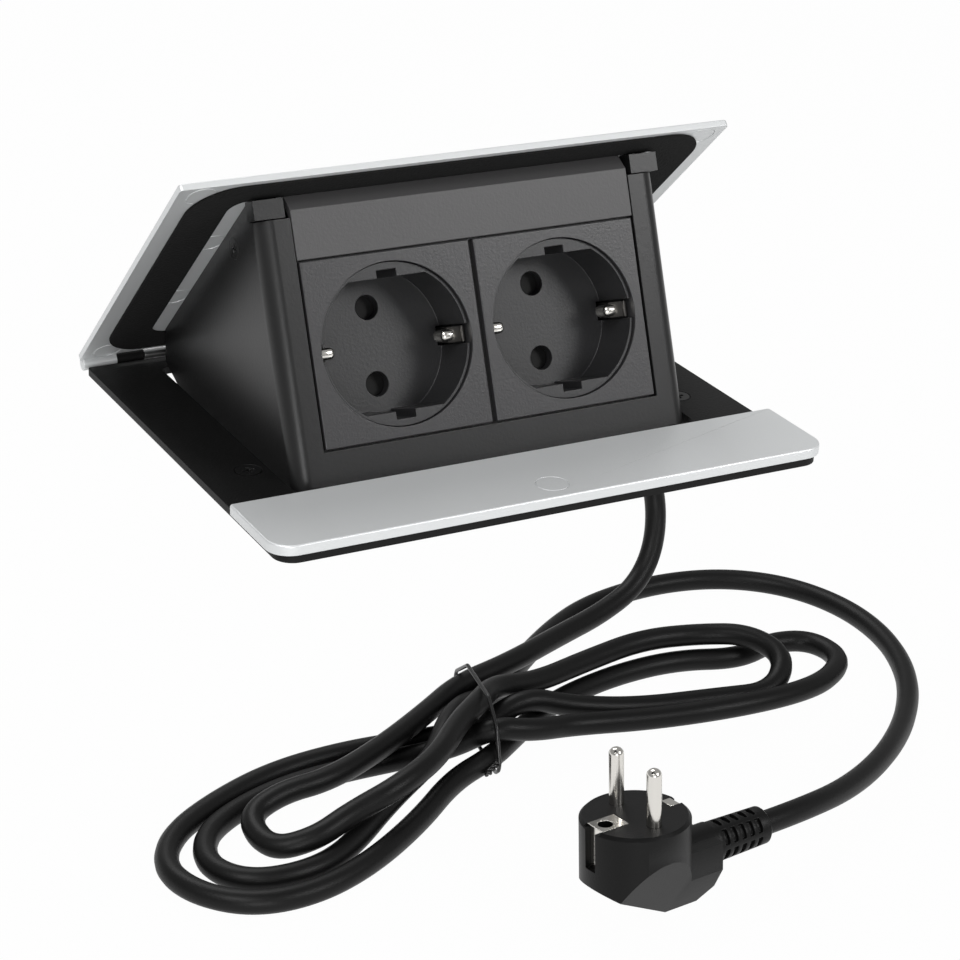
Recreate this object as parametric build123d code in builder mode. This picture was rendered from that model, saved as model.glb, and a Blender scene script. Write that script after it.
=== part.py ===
from build123d import *
from math import cos, dist, hypot, pi, radians, sin, tan
import os

os.makedirs("parts", exist_ok=True)

# Pop-up desk socket, shown open: millimetres, X right, Y back, Z up.
# The origin is the middle of the flange's underside, on the desk top.

# Driving sizes
pin_spacing = 19.0
recess_rim = 10.5
module_rim = 2.5
module_gap = 1.2
side_post = 8.9
side_margin = 18.5
lid_overhang = 1.5
flange_thick = 2.0
lid_thick = 1.8
strip_depth = 26.8
strip_rise = 2.6
strip_overhang = 0.4
open_angle = 42.84
wall = 2.0
face_lean = 21.4
face_rise = 7.0
face_setback = 9.3
header_height = 17.56
hinge_behind = 2.3
hinge_rise = 0.4
barrel_dia = 3.8
hinge_pin_dia = 2.0
cord_dia = 8.0
floor_drop = 198.0

# Clearances shared by the pieces
fit_gap = 0.2
seat_gap = 0.3
run_gap = 0.05
over = 1.0

# Two modules side by side, a post beside each, the flange's margins, and the lid past them
recess_dia = pin_spacing + 2 * recess_rim
module = recess_dia + 2 * module_rim
housing_width = 2 * module + module_gap + 2 * side_post
flange_width = housing_width + 2 * side_margin
lid_width = flange_width + 2 * lid_overhang

# The hinge lies as far behind the sockets' face as the open lid needs to clear the header
co, so = cos(radians(open_angle)), sin(radians(open_angle))
cl, sl = cos(radians(face_lean)), sin(radians(face_lean))
lid_under = strip_rise - hinge_rise - lid_thick
face_height = module + header_height
face_reach = (face_height * (sl * so + cl * co) + face_rise * co - lid_under) / so
flange_depth = face_reach - hinge_behind + face_setback + strip_depth - strip_overhang

# The hinge axis, behind the flange's rear edge
rear_edge = flange_depth / 2
hinge_y = rear_edge + hinge_behind
hinge_z = flange_thick + hinge_rise
lid_plane = Plane(origin=(0, hinge_y, hinge_z), x_dir=(1, 0, 0), z_dir=(0, so, co))
lid_axis = Axis((0, 0, 0), (0, so, co))

# The sockets' face leans back. Its frame has the modules' lower edge as y = 0.
face_y = hinge_y - face_reach
face_z = hinge_z + face_rise
face_plane = Plane(origin=(0, face_y, face_z), x_dir=(1, 0, 0), z_dir=(0, -cl, sl))


def on_lid(y, z):
    """A point (y, z) of the lid's frame, which has its origin on the hinge axis, as a world (y, z)."""
    return (hinge_y + y * co + z * so, hinge_z - y * so + z * co)


def on_face(up, deep):
    """A point of the face's frame, up along it and deep behind it, as a world (y, z)."""
    return (face_y + up * sl + deep * cl, face_z + up * cl - deep * sl)


def lid_height(y, z):
    """How high a world (y, z) lies in the lid's frame, which is its height over the axis when closed."""
    return (y - hinge_y) * so + (z - hinge_z) * co


def up_to_lid(deep):
    """How far up the face a line at that depth meets the lid's underside."""
    return (lid_under - lid_height(*on_face(0, deep))) / (sl * so + cl * co)


def up_at(z, deep):
    """How far up the face a line at that depth has the world height z."""
    return (z - face_z + deep * sl) / cl


def screws(spots, head_dia, head, dia, length, top_plane, recess=0.0):
    """Countersunk screws, heads flush with the plane, with a cross recess where one is asked for."""
    with BuildPart() as group:
        for x, y in spots:
            middle = top_plane.from_local_coords((x, y, 0))
            with BuildSketch(Plane(origin=middle, x_dir=top_plane.x_dir, z_dir=top_plane.y_dir)):
                with BuildLine():
                    Polyline(
                        (0, 0), (head_dia / 2, 0), (dia / 2, head), (dia / 2, length), (0, length), close=True
                    )
                make_face()
            revolve(axis=Axis(middle, top_plane.z_dir))
        if recess:
            with BuildSketch(top_plane):
                with Locations(*spots):
                    Rectangle(recess, recess / 4)
                    Rectangle(recess / 4, recess)
            extrude(amount=-head / 2, mode=Mode.SUBTRACT)
    return group.part


def save(part, name):
    part.label = name
    export_step(part, f"parts/{name}.step")


# Lid and strip lie flush when the unit is closed
strip_front = -rear_edge - strip_overhang
strip_rear = strip_front + strip_depth
strip_top = flange_thick + strip_rise
lid_front_gap = 0.5
lid_rear_gap = 0.8
lid_front = strip_rear + lid_front_gap - hinge_y
lid_rear = -lid_rear_gap
lid_length = lid_rear - lid_front

# The wedge-shaped housing under the lid: its bottom lies at the desk top
housing_bottom = -1.5
rear_wall = 11.0
rear_knee = 4.0
rear_slope = 13.0
housing_half = housing_width / 2
inner_half = housing_half - wall
foot_up = (housing_bottom - face_z) / cl
foot_y = on_face(foot_up, 0)[0]
sweep_radius = hypot(hinge_y - foot_y, hinge_z - housing_bottom)
rear_wall_y = hinge_y - rear_wall
slope_y = rear_wall_y - rear_slope

# The flange's cut-out lets the housing pass
sweep_gap = 2.7
side_gap = 1.1
rear_bar = 7.5
cutout_corner = 6.0
cutout_rear_corner = 2.5
cutout_half = housing_half + side_gap
cutout_front = hinge_y - sweep_radius - sweep_gap
cutout_rear = rear_edge - rear_bar

# Hinge pieces along the axis, the same on both sides
lug_inset = 0.9
lug_length = 9.1
lug_out = lid_width / 2 - lug_inset
lug_in = lug_out - lug_length
knuckle_gap = 0.2
knuckle_length = 7.3
knuckle_out = lug_in - knuckle_gap
knuckle_in = knuckle_out - knuckle_length
spring_length = 9.0
spring_dia = 3.6
inner_knuckle_out = knuckle_in - knuckle_gap - spring_length - knuckle_gap
inner_knuckle = 6.0
inner_knuckle_in = inner_knuckle_out - inner_knuckle
notch_depth = 1.9

# Fixing screws in the flange's side margins
fix_margin = 12.5
fix_spacing = flange_width - 2 * fix_margin
fix_setback = 15.0
fix_dia = 3.6
fix_head_dia = 6.6
fix_head_below = 0.2
fix_head = flange_thick + fix_head_below
fix_length = 11.5
fix_hole_gap = 0.2

# End blocks under the lid's front corners
block_overhang = 0.7
block_width = 7.8
block_below = 1.96
block_height = 4.7
block_deep = 4.7
block_out = housing_half + block_overhang
block_in = block_out - block_width
block_top = face_height - block_below
block_bottom = block_top - block_height

# Release button, its slide, and the tongues that hold the end blocks down
button_setback = 7.2
button_y = strip_front + button_setback
button_dia = 8.0
button_head = 1.3
button_rim = 0.55
button_rim_thick = 0.4
button_wedge = 1.25
button_wedge_width = 4.0
button_wedge_length = 4.6
button_travel = 1.2
tongue_inset = 3.5
tongue_x = housing_half - tongue_inset
tongue_width = 5.0
slide_thick = 1.0
slide_window_half = 6.6
slide_bar_depth = 4.5
slide_bar_setback = 4.9
hollow = strip_top - button_head
slide_front = strip_front + 2 * button_travel
bar_rear = cutout_front - slide_bar_setback
bar_front = bar_rear - slide_bar_depth
bar_low = flange_thick + run_gap

# Screws that hold the strip from below
strip_screw_x = 30.0
strip_screw_inset = 7.0
strip_screw_setback = 10.4
strip_screw_side = flange_width / 2 - strip_screw_inset
strip_screw_y = strip_front + strip_screw_setback
strip_screw_dia = 2.5
strip_screw_head = 4.8
strip_screw_sink = 1.2
fix_spots = [(side * fix_spacing / 2, -fix_setback) for side in (-1, 1)]
from_below = Plane(origin=(0, 0, 0), x_dir=(1, 0, 0), z_dir=(0, 0, -1))
strip_spots = [
    (x, -strip_screw_y) for x in (-strip_screw_side, -strip_screw_x, strip_screw_x, strip_screw_side)
]

# Stop tabs at the housing's foot, which end the lid's travel under the flange's front bar
stop_x = 27.0
stop_width = 12.0
stop_reach = 2.4
stop_seat_depth = stop_reach + 2 * seat_gap

# Flange
lip_depth = 8.0
lip_thick = 1.5
flange_front_corner = 5.0
flange_rear_corner = 1.0
knuckle_strap = 1.2
notch_side = 1.0
notch_reach = slide_bar_setback + button_travel / 2

with BuildPart() as flange:
    with BuildSketch(Plane.XY):
        Rectangle(flange_width, flange_depth)
        fillet(vertices().group_by(Axis.Y)[0], flange_front_corner)
        fillet(vertices().group_by(Axis.Y)[-1], flange_rear_corner)
    extrude(amount=flange_thick)
    with BuildSketch(Plane.XY.offset(-over)):
        with Locations((0, (cutout_front + cutout_rear) / 2)):
            Rectangle(2 * cutout_half, cutout_rear - cutout_front)
        fillet(vertices().group_by(Axis.Y)[0], cutout_corner)
        fillet(vertices().group_by(Axis.Y)[-1], cutout_rear_corner)
    extrude(amount=flange_thick + 2 * over, mode=Mode.SUBTRACT)
    # shallow seats under the front bar, coined where the housing's stop tabs bear
    with BuildSketch(Plane.XY):
        for side in (-1, 1):
            with Locations((side * stop_x, cutout_front - stop_seat_depth / 2 + fit_gap)):
                Rectangle(stop_width + 2 * notch_side, stop_seat_depth + 2 * fit_gap)
    extrude(amount=seat_gap, mode=Mode.SUBTRACT)
    # side lips, bent down along the cut-out
    lip_front, lip_rear = cutout_front + cutout_corner, cutout_rear - cutout_rear_corner
    for side in (-1, 1):
        with BuildSketch(Plane.XY.offset(-lip_depth)):
            with Locations((side * (cutout_half + lip_thick / 2), (lip_front + lip_rear) / 2)):
                Rectangle(lip_thick, lip_rear - lip_front)
        extrude(amount=lip_depth)
    # rolled knuckles on the hinge axis, each on a strap from the rear edge
    for side in (-1, 1):
        for x_in, x_out in ((knuckle_in, knuckle_out), (inner_knuckle_in, inner_knuckle_out)):
            start = side * x_in if side > 0 else side * x_out
            with BuildSketch(Plane.YZ.offset(start)):
                with Locations((hinge_y, hinge_z)):
                    Circle(barrel_dia / 2)
                with BuildLine():
                    strap_low = hinge_z - barrel_dia / 2
                    Polyline(
                        (rear_edge - over, strap_low),
                        (hinge_y, strap_low),
                        (hinge_y, strap_low + knuckle_strap),
                        (rear_edge - over, strap_low + knuckle_strap),
                        close=True,
                    )
                make_face()
                with Locations((hinge_y, hinge_z)):
                    Circle(hinge_pin_dia / 2, mode=Mode.SUBTRACT)
            extrude(amount=x_out - x_in)
    # fixing screw holes, sunk from above, and strip screw holes, sunk from below
    add(
        screws(
            fix_spots,
            fix_head_dia + 2 * fix_hole_gap,
            fix_head,
            fix_dia + 2 * fix_hole_gap,
            fix_length,
            Plane.XY.offset(flange_thick),
        ),
        mode=Mode.SUBTRACT,
    )
    add(
        screws(
            strip_spots,
            strip_screw_head + 2 * fix_hole_gap,
            strip_screw_sink,
            strip_screw_dia + 2 * fix_hole_gap,
            flange_thick + over,
            from_below,
        ),
        mode=Mode.SUBTRACT,
    )
    # window for the slide's ramp under the button
    with BuildSketch(Plane.XY.offset(-over)):
        with Locations((0, (slide_front + bar_rear + fit_gap) / 2)):
            Rectangle(2 * slide_window_half, bar_rear + fit_gap - slide_front)
    extrude(amount=flange_thick + 2 * over, mode=Mode.SUBTRACT)
    # notches where the tongues step down to the cut-out
    for side in (-1, 1):
        with BuildSketch(Plane.XY.offset(-over)):
            with Locations((side * tongue_x, cutout_front + (cutout_corner - notch_reach) / 2)):
                Rectangle(tongue_width + 2 * notch_side, notch_reach + cutout_corner)
        extrude(amount=flange_thick + 2 * over, mode=Mode.SUBTRACT)
save(flange.part, "flange_plate")

# Front strip
strip_front_corner = 6.0
strip_rear_corner = 0.8
strip_edge = 0.3
hollow_half = tongue_x + tongue_width / 2 + notch_side
spring_room = 2.4
hollow_rim = 1.4
bar_front_hollow = bar_front - spring_room
hollow_rear = cutout_front - hollow_rim

with BuildPart() as strip:
    with BuildSketch(Plane.XY.offset(flange_thick)):
        with Locations((0, (strip_front + strip_rear) / 2)):
            Rectangle(lid_width, strip_depth)
        fillet(vertices().group_by(Axis.Y)[0], strip_front_corner)
        fillet(vertices().group_by(Axis.Y)[-1], strip_rear_corner)
    extrude(amount=strip_rise)
    chamfer(faces().sort_by(Axis.Z)[-1].edges(), strip_edge)
    # hollow for the slide, behind and around the button
    with BuildSketch(Plane.XY.offset(flange_thick)):
        with Locations((0, (bar_front_hollow + hollow_rear) / 2)):
            Rectangle(2 * hollow_half, hollow_rear - bar_front_hollow)
        with Locations((0, (slide_front + bar_front_hollow) / 2)):
            Rectangle(2 * slide_window_half, bar_front_hollow - slide_front + over)
    extrude(amount=hollow - flange_thick, mode=Mode.SUBTRACT)
    # open the hollow to the rear where the tongues leave it
    for side in (-1, 1):
        with BuildSketch(Plane.XY.offset(flange_thick)):
            with Locations((side * tongue_x, (hollow_rear + strip_rear) / 2)):
                Rectangle(tongue_width + 2 * notch_side, strip_rear - hollow_rear + over)
        extrude(amount=fit_gap, mode=Mode.SUBTRACT)
    with Locations((0, button_y, hollow)):
        Hole(button_dia / 2, depth=strip_rise)
    with BuildSketch(Plane.XY.offset(flange_thick)):
        with Locations(*[(x, -y) for x, y in strip_spots]):
            Circle(strip_screw_dia / 2)
    extrude(amount=strip_rise - fit_gap - strip_edge, mode=Mode.SUBTRACT)
save(strip.part, "front_strip")


screw_slot = 3.2
strip_screw_length = flange_thick + strip_rise - strip_edge - 2 * fit_gap
save(
    screws(
        fix_spots,
        fix_head_dia,
        fix_head,
        fix_dia,
        fix_length,
        Plane.XY.offset(flange_thick),
        screw_slot,
    ),
    "fixing_screws",
)
save(
    screws(
        strip_spots,
        strip_screw_head,
        strip_screw_sink,
        strip_screw_dia,
        strip_screw_length,
        from_below,
        strip_screw_dia,
    ),
    "strip_screws",
)

# Hinge pins and springs
pin_sink = 0.6
pin_out = lug_out - pin_sink
with BuildPart() as pins:
    for side in (-1, 1):
        with BuildSketch(Plane.YZ.offset(inner_knuckle_in if side > 0 else -pin_out)):
            with Locations((hinge_y, hinge_z)):
                Circle(hinge_pin_dia / 2 - run_gap)
        extrude(amount=pin_out - inner_knuckle_in)
save(pins.part, "hinge_pins")

spring_wire = 0.7
leg_length = 3.2
for side, name in ((-1, "left_hinge_spring"), (1, "right_hinge_spring")):
    x_start = knuckle_in - knuckle_gap - spring_length
    with BuildPart() as hinge_spring:
        with BuildSketch(Plane.YZ.offset(x_start if side > 0 else -x_start - spring_length)):
            with Locations((hinge_y, hinge_z)):
                Circle(spring_dia / 2)
                Circle(spring_dia / 2 - spring_wire, mode=Mode.SUBTRACT)
        extrude(amount=spring_length)
        # the leg that pushes the lid up lies along its underside
        leg_x = side * (x_start + spring_wire)
        with BuildSketch(lid_plane.offset(lid_under - spring_wire - fit_gap)):
            with Locations((leg_x, -leg_length / 2 - hinge_pin_dia / 2 - fit_gap)):
                Rectangle(spring_wire, leg_length)
        extrude(amount=spring_wire)
    save(hinge_spring.part, name)

# Release button and latch slide
rim_top = hollow - run_gap
rim_low = rim_top - button_rim_thick
wedge_low = rim_low - button_wedge
wedge_front = button_y - button_wedge_length / 2
with BuildPart() as button:
    with BuildSketch(Plane.XY.offset(rim_low)):
        with Locations((0, button_y)):
            Circle(button_dia / 2 + button_rim)
    extrude(amount=button_rim_thick)
    with BuildSketch(Plane.XY.offset(rim_top)):
        with Locations((0, button_y)):
            Circle(button_dia / 2 - run_gap)
    extrude(amount=strip_top - rim_top)
    with BuildSketch(Plane.YZ.offset(-button_wedge_width / 2)):
        with BuildLine():
            Polyline(
                (wedge_front, rim_low),
                (wedge_front + button_wedge, wedge_low),
                (wedge_front + button_wedge_length, wedge_low),
                (wedge_front + button_wedge_length, rim_low),
                close=True,
            )
        make_face()
    extrude(amount=button_wedge_width)
save(button.part, "release_button")

ramp_top = wedge_low
ramp_low = seat_gap
tongue_thick = 0.7
tongue_low = hinge_z + lid_height(*on_face(block_top, 0)) + fit_gap
tongue_face_y = on_face(up_at(tongue_low, 0), 0)[0]
tip_y = hinge_y - hypot(hinge_y - tongue_face_y, hinge_z - tongue_low) - seat_gap
slide_half = slide_window_half - button_travel / 2
wedge_side_gap = 0.4
with BuildPart() as slide:
    # flat plate under the button, with a window for the wedge
    ramp_y = wedge_front + button_wedge - run_gap
    with BuildSketch(Plane.YZ.offset(-slide_half)):
        with BuildLine():
            Polyline(
                (slide_front + button_travel + fit_gap, ramp_low),
                (bar_rear, ramp_low),
                (bar_rear, hollow - fit_gap),
                (bar_front, hollow - fit_gap),
                (bar_front, ramp_top),
                (slide_front + button_travel + fit_gap, ramp_top),
                close=True,
            )
        make_face()
    extrude(amount=2 * slide_half)
    with BuildSketch(Plane.YZ.offset(-button_wedge_width / 2 - wedge_side_gap)):
        with BuildLine():
            Polyline(
                (ramp_y, ramp_top + over),
                (ramp_y, ramp_top),
                (ramp_y + ramp_top - ramp_low + over, ramp_low - over),
                (button_y + button_wedge_length / 2 + 2 * button_travel, ramp_low - over),
                (button_y + button_wedge_length / 2 + 2 * button_travel, ramp_top + over),
                close=True,
            )
        make_face()
    extrude(amount=button_wedge_width + 2 * wedge_side_gap, mode=Mode.SUBTRACT)
    # cross bar in the strip's hollow
    with BuildSketch(Plane.XY.offset(bar_low)):
        with Locations((0, (bar_front + bar_rear) / 2)):
            Rectangle(2 * tongue_x + tongue_width, slide_bar_depth)
    extrude(amount=slide_thick)
    # tongues: along the hollow, down through the notch, and out at the flange's level
    step_rear = hollow_rear - button_travel
    for side in (-1, 1):
        with BuildSketch(Plane.YZ.offset(side * tongue_x - tongue_width / 2)):
            with BuildLine():
                Polyline(
                    (bar_front, bar_low),
                    (step_rear - 2 * tongue_thick, bar_low),
                    (step_rear - 2 * tongue_thick, tongue_low),
                    (tip_y - tongue_thick / 2, tongue_low),
                    (tip_y, tongue_low + tongue_thick / 2),
                    (tip_y, tongue_low + tongue_thick),
                    (step_rear, tongue_low + tongue_thick),
                    (step_rear, bar_low + slide_thick),
                    (bar_front, bar_low + slide_thick),
                    close=True,
                )
            make_face()
        extrude(amount=tongue_width)
save(slide.part, "latch_slide")

leaf_thick = 0.25
leaf_height = 1.0
leaf_span = 24.0
leaf_x = 24.0
leaf_bow = bar_front - bar_front_hollow - leaf_thick - 2 * run_gap
with BuildPart() as leaf:
    for side in (-1, 1):
        with BuildSketch(Plane.XY.offset(bar_low)):
            with BuildLine():
                left = (side * leaf_x - leaf_span / 2, bar_front_hollow + run_gap)
                middle = (side * leaf_x, bar_front_hollow + run_gap + leaf_bow)
                right = (side * leaf_x + leaf_span / 2, bar_front_hollow + run_gap)
                ThreePointArc(left, middle, right)
                Line(right, (right[0], right[1] + leaf_thick))
                ThreePointArc(
                    (right[0], right[1] + leaf_thick),
                    (middle[0], middle[1] + leaf_thick),
                    (left[0], left[1] + leaf_thick),
                )
                Line((left[0], left[1] + leaf_thick), left)
            make_face()
        extrude(amount=leaf_height)
save(leaf.part, "latch_springs")

# Lid
lid_corner = 1.0
lid_edge = 0.3
mark_dia = 8.0
mark_deep = 0.15
mark_ring = 0.5
mark_inset = 6.5
mark_front = 4.4
mark_rear = 6.0
inner_mark_inset = 17.0
inner_mark_shares = (0.365, 0.68)
marks = [
    (side * (lid_width / 2 - mark_inset), y) for side in (-1, 1) for y in (lid_front + mark_front, -mark_rear)
]
inner_marks = [
    (side * (lid_width / 2 - inner_mark_inset), lid_front * share)
    for side in (-1, 1)
    for share in inner_mark_shares
]
stud_inset = 5.5
stud_x = housing_half - stud_inset
stud_front = 17.4
stud_rear = 30.0
stud_rows = (-stud_rear, lid_front + stud_front)
stud_dia = 2.5
stud_deep = 1.2

with BuildPart() as lid:
    with BuildSketch(lid_plane.offset(lid_under)):
        with Locations((0, (lid_front + lid_rear) / 2)):
            Rectangle(lid_width, lid_length)
        fillet(vertices(), lid_corner)
    extrude(amount=lid_thick)
    chamfer(faces().sort_by(lid_axis)[-1].edges(), lid_edge)
    # notches round the flange's knuckles and the springs
    for side in (-1, 1):
        x_mid = side * (knuckle_out + knuckle_gap + inner_knuckle_in - knuckle_gap) / 2
        with BuildSketch(lid_plane.offset(lid_under - over)):
            with Locations((x_mid, lid_rear - notch_depth / 2 + over)):
                Rectangle(knuckle_out - inner_knuckle_in + 2 * knuckle_gap, notch_depth + 2 * over)
        extrude(amount=lid_thick + 2 * over, mode=Mode.SUBTRACT)
    # round lugs on the hinge axis
    for side in (-1, 1):
        with BuildSketch(Plane.YZ.offset(lug_in if side > 0 else -lug_out)):
            with Locations((hinge_y, hinge_z)):
                Circle(barrel_dia / 2)
        extrude(amount=lug_out - lug_in)
    for side in (-1, 1):
        with BuildSketch(Plane.YZ.offset(lug_in - over if side > 0 else -pin_out - seat_gap)):
            with Locations((hinge_y, hinge_z)):
                Circle(hinge_pin_dia / 2)
        extrude(amount=pin_out + seat_gap - lug_in + over, mode=Mode.SUBTRACT)
    # shallow round marks and the screws' blind holes in the underside
    with BuildSketch(lid_plane.offset(lid_under)):
        with Locations(*marks, *inner_marks):
            Circle(mark_dia / 2)
            Circle(mark_dia / 2 - mark_ring, mode=Mode.SUBTRACT)
    extrude(amount=mark_deep, mode=Mode.SUBTRACT)
    with BuildSketch(lid_plane.offset(lid_under)):
        with Locations(*[(side * stud_x, y) for side in (-1, 1) for y in stud_rows]):
            Circle(stud_dia / 2)
    extrude(amount=stud_deep, mode=Mode.SUBTRACT)
save(lid.part, "lid_plate")

# Gasket
gasket_thick = 0.6
gasket_inset = 4.5
gasket_half = lid_width / 2 - gasket_inset
gasket_rear = 4.2
gasket_front = 1.4
gasket_side = 11.0
gasket_front_width = 7.8
gasket_rear_width = 9.5
gasket_corner = 12.0
gasket_inner_corner = 5.0
with BuildPart() as gasket:
    ring_rear = lid_rear - gasket_rear
    ring_front = lid_front + gasket_front
    with BuildSketch(lid_plane.offset(lid_under - gasket_thick)):
        with Locations((0, (ring_rear + ring_front) / 2)):
            RectangleRounded(2 * gasket_half, ring_rear - ring_front, gasket_corner)
        inner_rear = ring_rear - gasket_rear_width
        inner_front = ring_front + gasket_front_width
        with Locations((0, (inner_rear + inner_front) / 2)):
            RectangleRounded(
                2 * (gasket_half - gasket_side),
                inner_rear - inner_front,
                gasket_inner_corner,
                mode=Mode.SUBTRACT,
            )
    extrude(amount=gasket_thick)
save(gasket.part, "lid_gasket")

# Housing shell
post_gap = 0.6
post_drop = 6.86
post_half = module + module_gap / 2 + post_gap
post_top = face_height - post_drop
post_fillet = 4.2
opening_bottom = -0.4
boss_width = 5.0
boss_depth = 6.0
boss_height = 8.0
boss_behind_face = 12.57
boss_ahead = 8.3
boss_rows = (foot_y + boss_behind_face, slope_y - boss_ahead)
boss_x = inner_half - boss_width / 2
cover_screw_dia = 2.5
side_screw_setback = 26.8
side_screw_drop = 4.3
side_spot = on_lid(lid_front + side_screw_setback, -side_screw_drop)
side_screw_dia = 2.5
side_head_dia = 5.2
side_screw_head = 1.0

outer_top_rear = on_lid((rear_wall_y - hinge_y - lid_under * so) / co, lid_under)
outer_top_front = on_face(up_to_lid(0), 0)
outline = [
    outer_top_rear,
    (rear_wall_y, rear_knee),
    (slope_y, housing_bottom),
    (foot_y, housing_bottom),
    outer_top_front,
]
with BuildPart() as housing:
    with BuildSketch(Plane.YZ.offset(-housing_half)):
        with BuildLine():
            Polyline(*outline, close=True)
        make_face()
    extrude(amount=housing_width)
    front_edges = edges().filter_by(Axis.X, reverse=True)
    posts = [
        e
        for e in front_edges
        if abs(e.center().Y - (foot_y + outer_top_front[0]) / 2) < over
        and abs(e.center().Z - (housing_bottom + outer_top_front[1]) / 2) < over
    ]
    fillet(posts, post_fillet)
    # hollow inside, open to the lid and at the bottom
    with BuildSketch(Plane.YZ.offset(-inner_half)):
        with BuildLine():
            Polyline(
                (rear_wall_y - wall, outer_top_rear[1] + 3 * wall),
                (rear_wall_y - wall, rear_knee + wall / 2),
                (slope_y - wall, housing_bottom + wall / 2),
                (slope_y - wall, housing_bottom - over),
                on_face(foot_up - over, wall),
                on_face(up_to_lid(wall) + 2 * wall, wall),
                close=True,
            )
        make_face()
    extrude(amount=2 * inner_half, mode=Mode.SUBTRACT)
    # opening for the modules and the header
    with BuildSketch(face_plane.offset(over)):
        opening_top = up_to_lid(0) + over
        with Locations((0, (opening_bottom + opening_top) / 2)):
            Rectangle(2 * post_half, opening_top - opening_bottom)
    extrude(amount=-(wall + 2 * over), mode=Mode.SUBTRACT)
    # corners cut away for the end blocks
    for side in (-1, 1):
        with BuildSketch(face_plane.offset(over)):
            with Locations((side * (post_half + housing_half + over) / 2, (post_top + opening_top) / 2)):
                Rectangle(housing_half + over - post_half, opening_top - post_top)
        extrude(amount=-(block_deep + seat_gap + over), mode=Mode.SUBTRACT)
    # bosses on the side walls for the bottom cover's screws
    for side in (-1, 1):
        with BuildSketch(Plane.XY.offset(housing_bottom + wall)):
            with Locations(*[(side * (inner_half - boss_width / 2), y) for y in boss_rows]):
                Rectangle(boss_width, boss_depth)
        extrude(amount=boss_height)
        with BuildSketch(Plane.XY.offset(housing_bottom + wall)):
            with Locations(*[(side * boss_x, y) for y in boss_rows]):
                Circle(cover_screw_dia / 2)
        extrude(amount=boss_height - wall, mode=Mode.SUBTRACT)
    # holes for the side screws
    for side in (-1, 1):
        with BuildSketch(Plane.YZ.offset(side * inner_half)):
            with Locations(side_spot):
                Circle(side_screw_dia / 2 + run_gap)
        extrude(amount=side * wall, mode=Mode.SUBTRACT)
        with BuildSketch(Plane.YZ.offset(side * (housing_half - side_screw_head))):
            with Locations(side_spot):
                Circle(side_head_dia / 2 + run_gap)
        extrude(amount=side * side_screw_head, mode=Mode.SUBTRACT)
    # stop tabs that come up under the flange's front bar
    for side in (-1, 1):
        with BuildSketch(Plane.XY.offset(housing_bottom)):
            with Locations((side * stop_x, foot_y - (sweep_gap + stop_reach) / 2 + wall / 2)):
                Rectangle(stop_width, sweep_gap + stop_reach + wall)
        extrude(amount=-housing_bottom)
save(housing.part, "housing_shell")

# Bottom cover
gland_inset = 17.5
gland_x = inner_half - gland_inset
gland_ahead = 10.3
gland_y = slope_y - gland_ahead
gland_neck = 10.0
cover_head_dia = 4.6
cover_head = 1.0
with BuildPart() as cover:
    cover_deep = wall + fit_gap
    cover_top = housing_bottom + wall
    with BuildSketch(Plane.YZ.offset(-inner_half + fit_gap)):
        with BuildLine():
            Polyline(
                on_face(up_at(housing_bottom, cover_deep), cover_deep),
                on_face(up_at(cover_top, cover_deep), cover_deep),
                (slope_y - wall - fit_gap, cover_top),
                (slope_y - wall - fit_gap, housing_bottom),
                close=True,
            )
        make_face()
    extrude(amount=2 * (inner_half - fit_gap))
    with BuildSketch(Plane.XY.offset(housing_bottom)):
        with Locations((gland_x, gland_y)):
            Circle(gland_neck / 2 + run_gap)
        with Locations(*[(side * boss_x, y) for side in (-1, 1) for y in boss_rows]):
            Circle(cover_screw_dia / 2)
    extrude(amount=wall, mode=Mode.SUBTRACT)
    with BuildSketch(Plane.XY.offset(housing_bottom)):
        with Locations(*[(side * boss_x, y) for side in (-1, 1) for y in boss_rows]):
            Circle(cover_head_dia / 2)
    extrude(amount=cover_head, mode=Mode.SUBTRACT)
save(cover.part, "bottom_cover")

cover_screw_length = 6.0
with BuildPart() as cover_screws:
    cover_spots = [(side * boss_x, y) for side in (-1, 1) for y in boss_rows]
    with BuildSketch(Plane.XY.offset(housing_bottom)):
        with Locations(*cover_spots):
            Circle(cover_head_dia / 2 - run_gap)
    extrude(amount=cover_head)
    with BuildSketch(Plane.XY.offset(housing_bottom)):
        with Locations(*cover_spots):
            Circle(cover_screw_dia / 2 - run_gap)
    extrude(amount=cover_screw_length)
    with BuildSketch(Plane.XY.offset(housing_bottom)):
        with Locations(*cover_spots):
            Rectangle(cover_screw_dia, cover_screw_dia / 4)
            Rectangle(cover_screw_dia / 4, cover_screw_dia)
    extrude(amount=cover_head / 2, mode=Mode.SUBTRACT)
save(cover_screws.part, "cover_screws")

# Module frame behind the face
frame_thick = 2.0
frame_low = -4.0
frame_above = 5.0
frame_high = module + frame_above
body_inset = 1.5
body_side = module - 2 * body_inset
module_x = (module + module_gap) / 2
with BuildPart() as frame:
    with BuildSketch(face_plane.offset(-wall)):
        with Locations((0, (frame_low + frame_high) / 2)):
            Rectangle(2 * (inner_half - fit_gap), frame_high - frame_low)
        with Locations((-module_x, module / 2), (module_x, module / 2)):
            Rectangle(body_side + 2 * fit_gap, body_side + 2 * fit_gap, mode=Mode.SUBTRACT)
    extrude(amount=-frame_thick)
save(frame.part, "module_frame")

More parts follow.
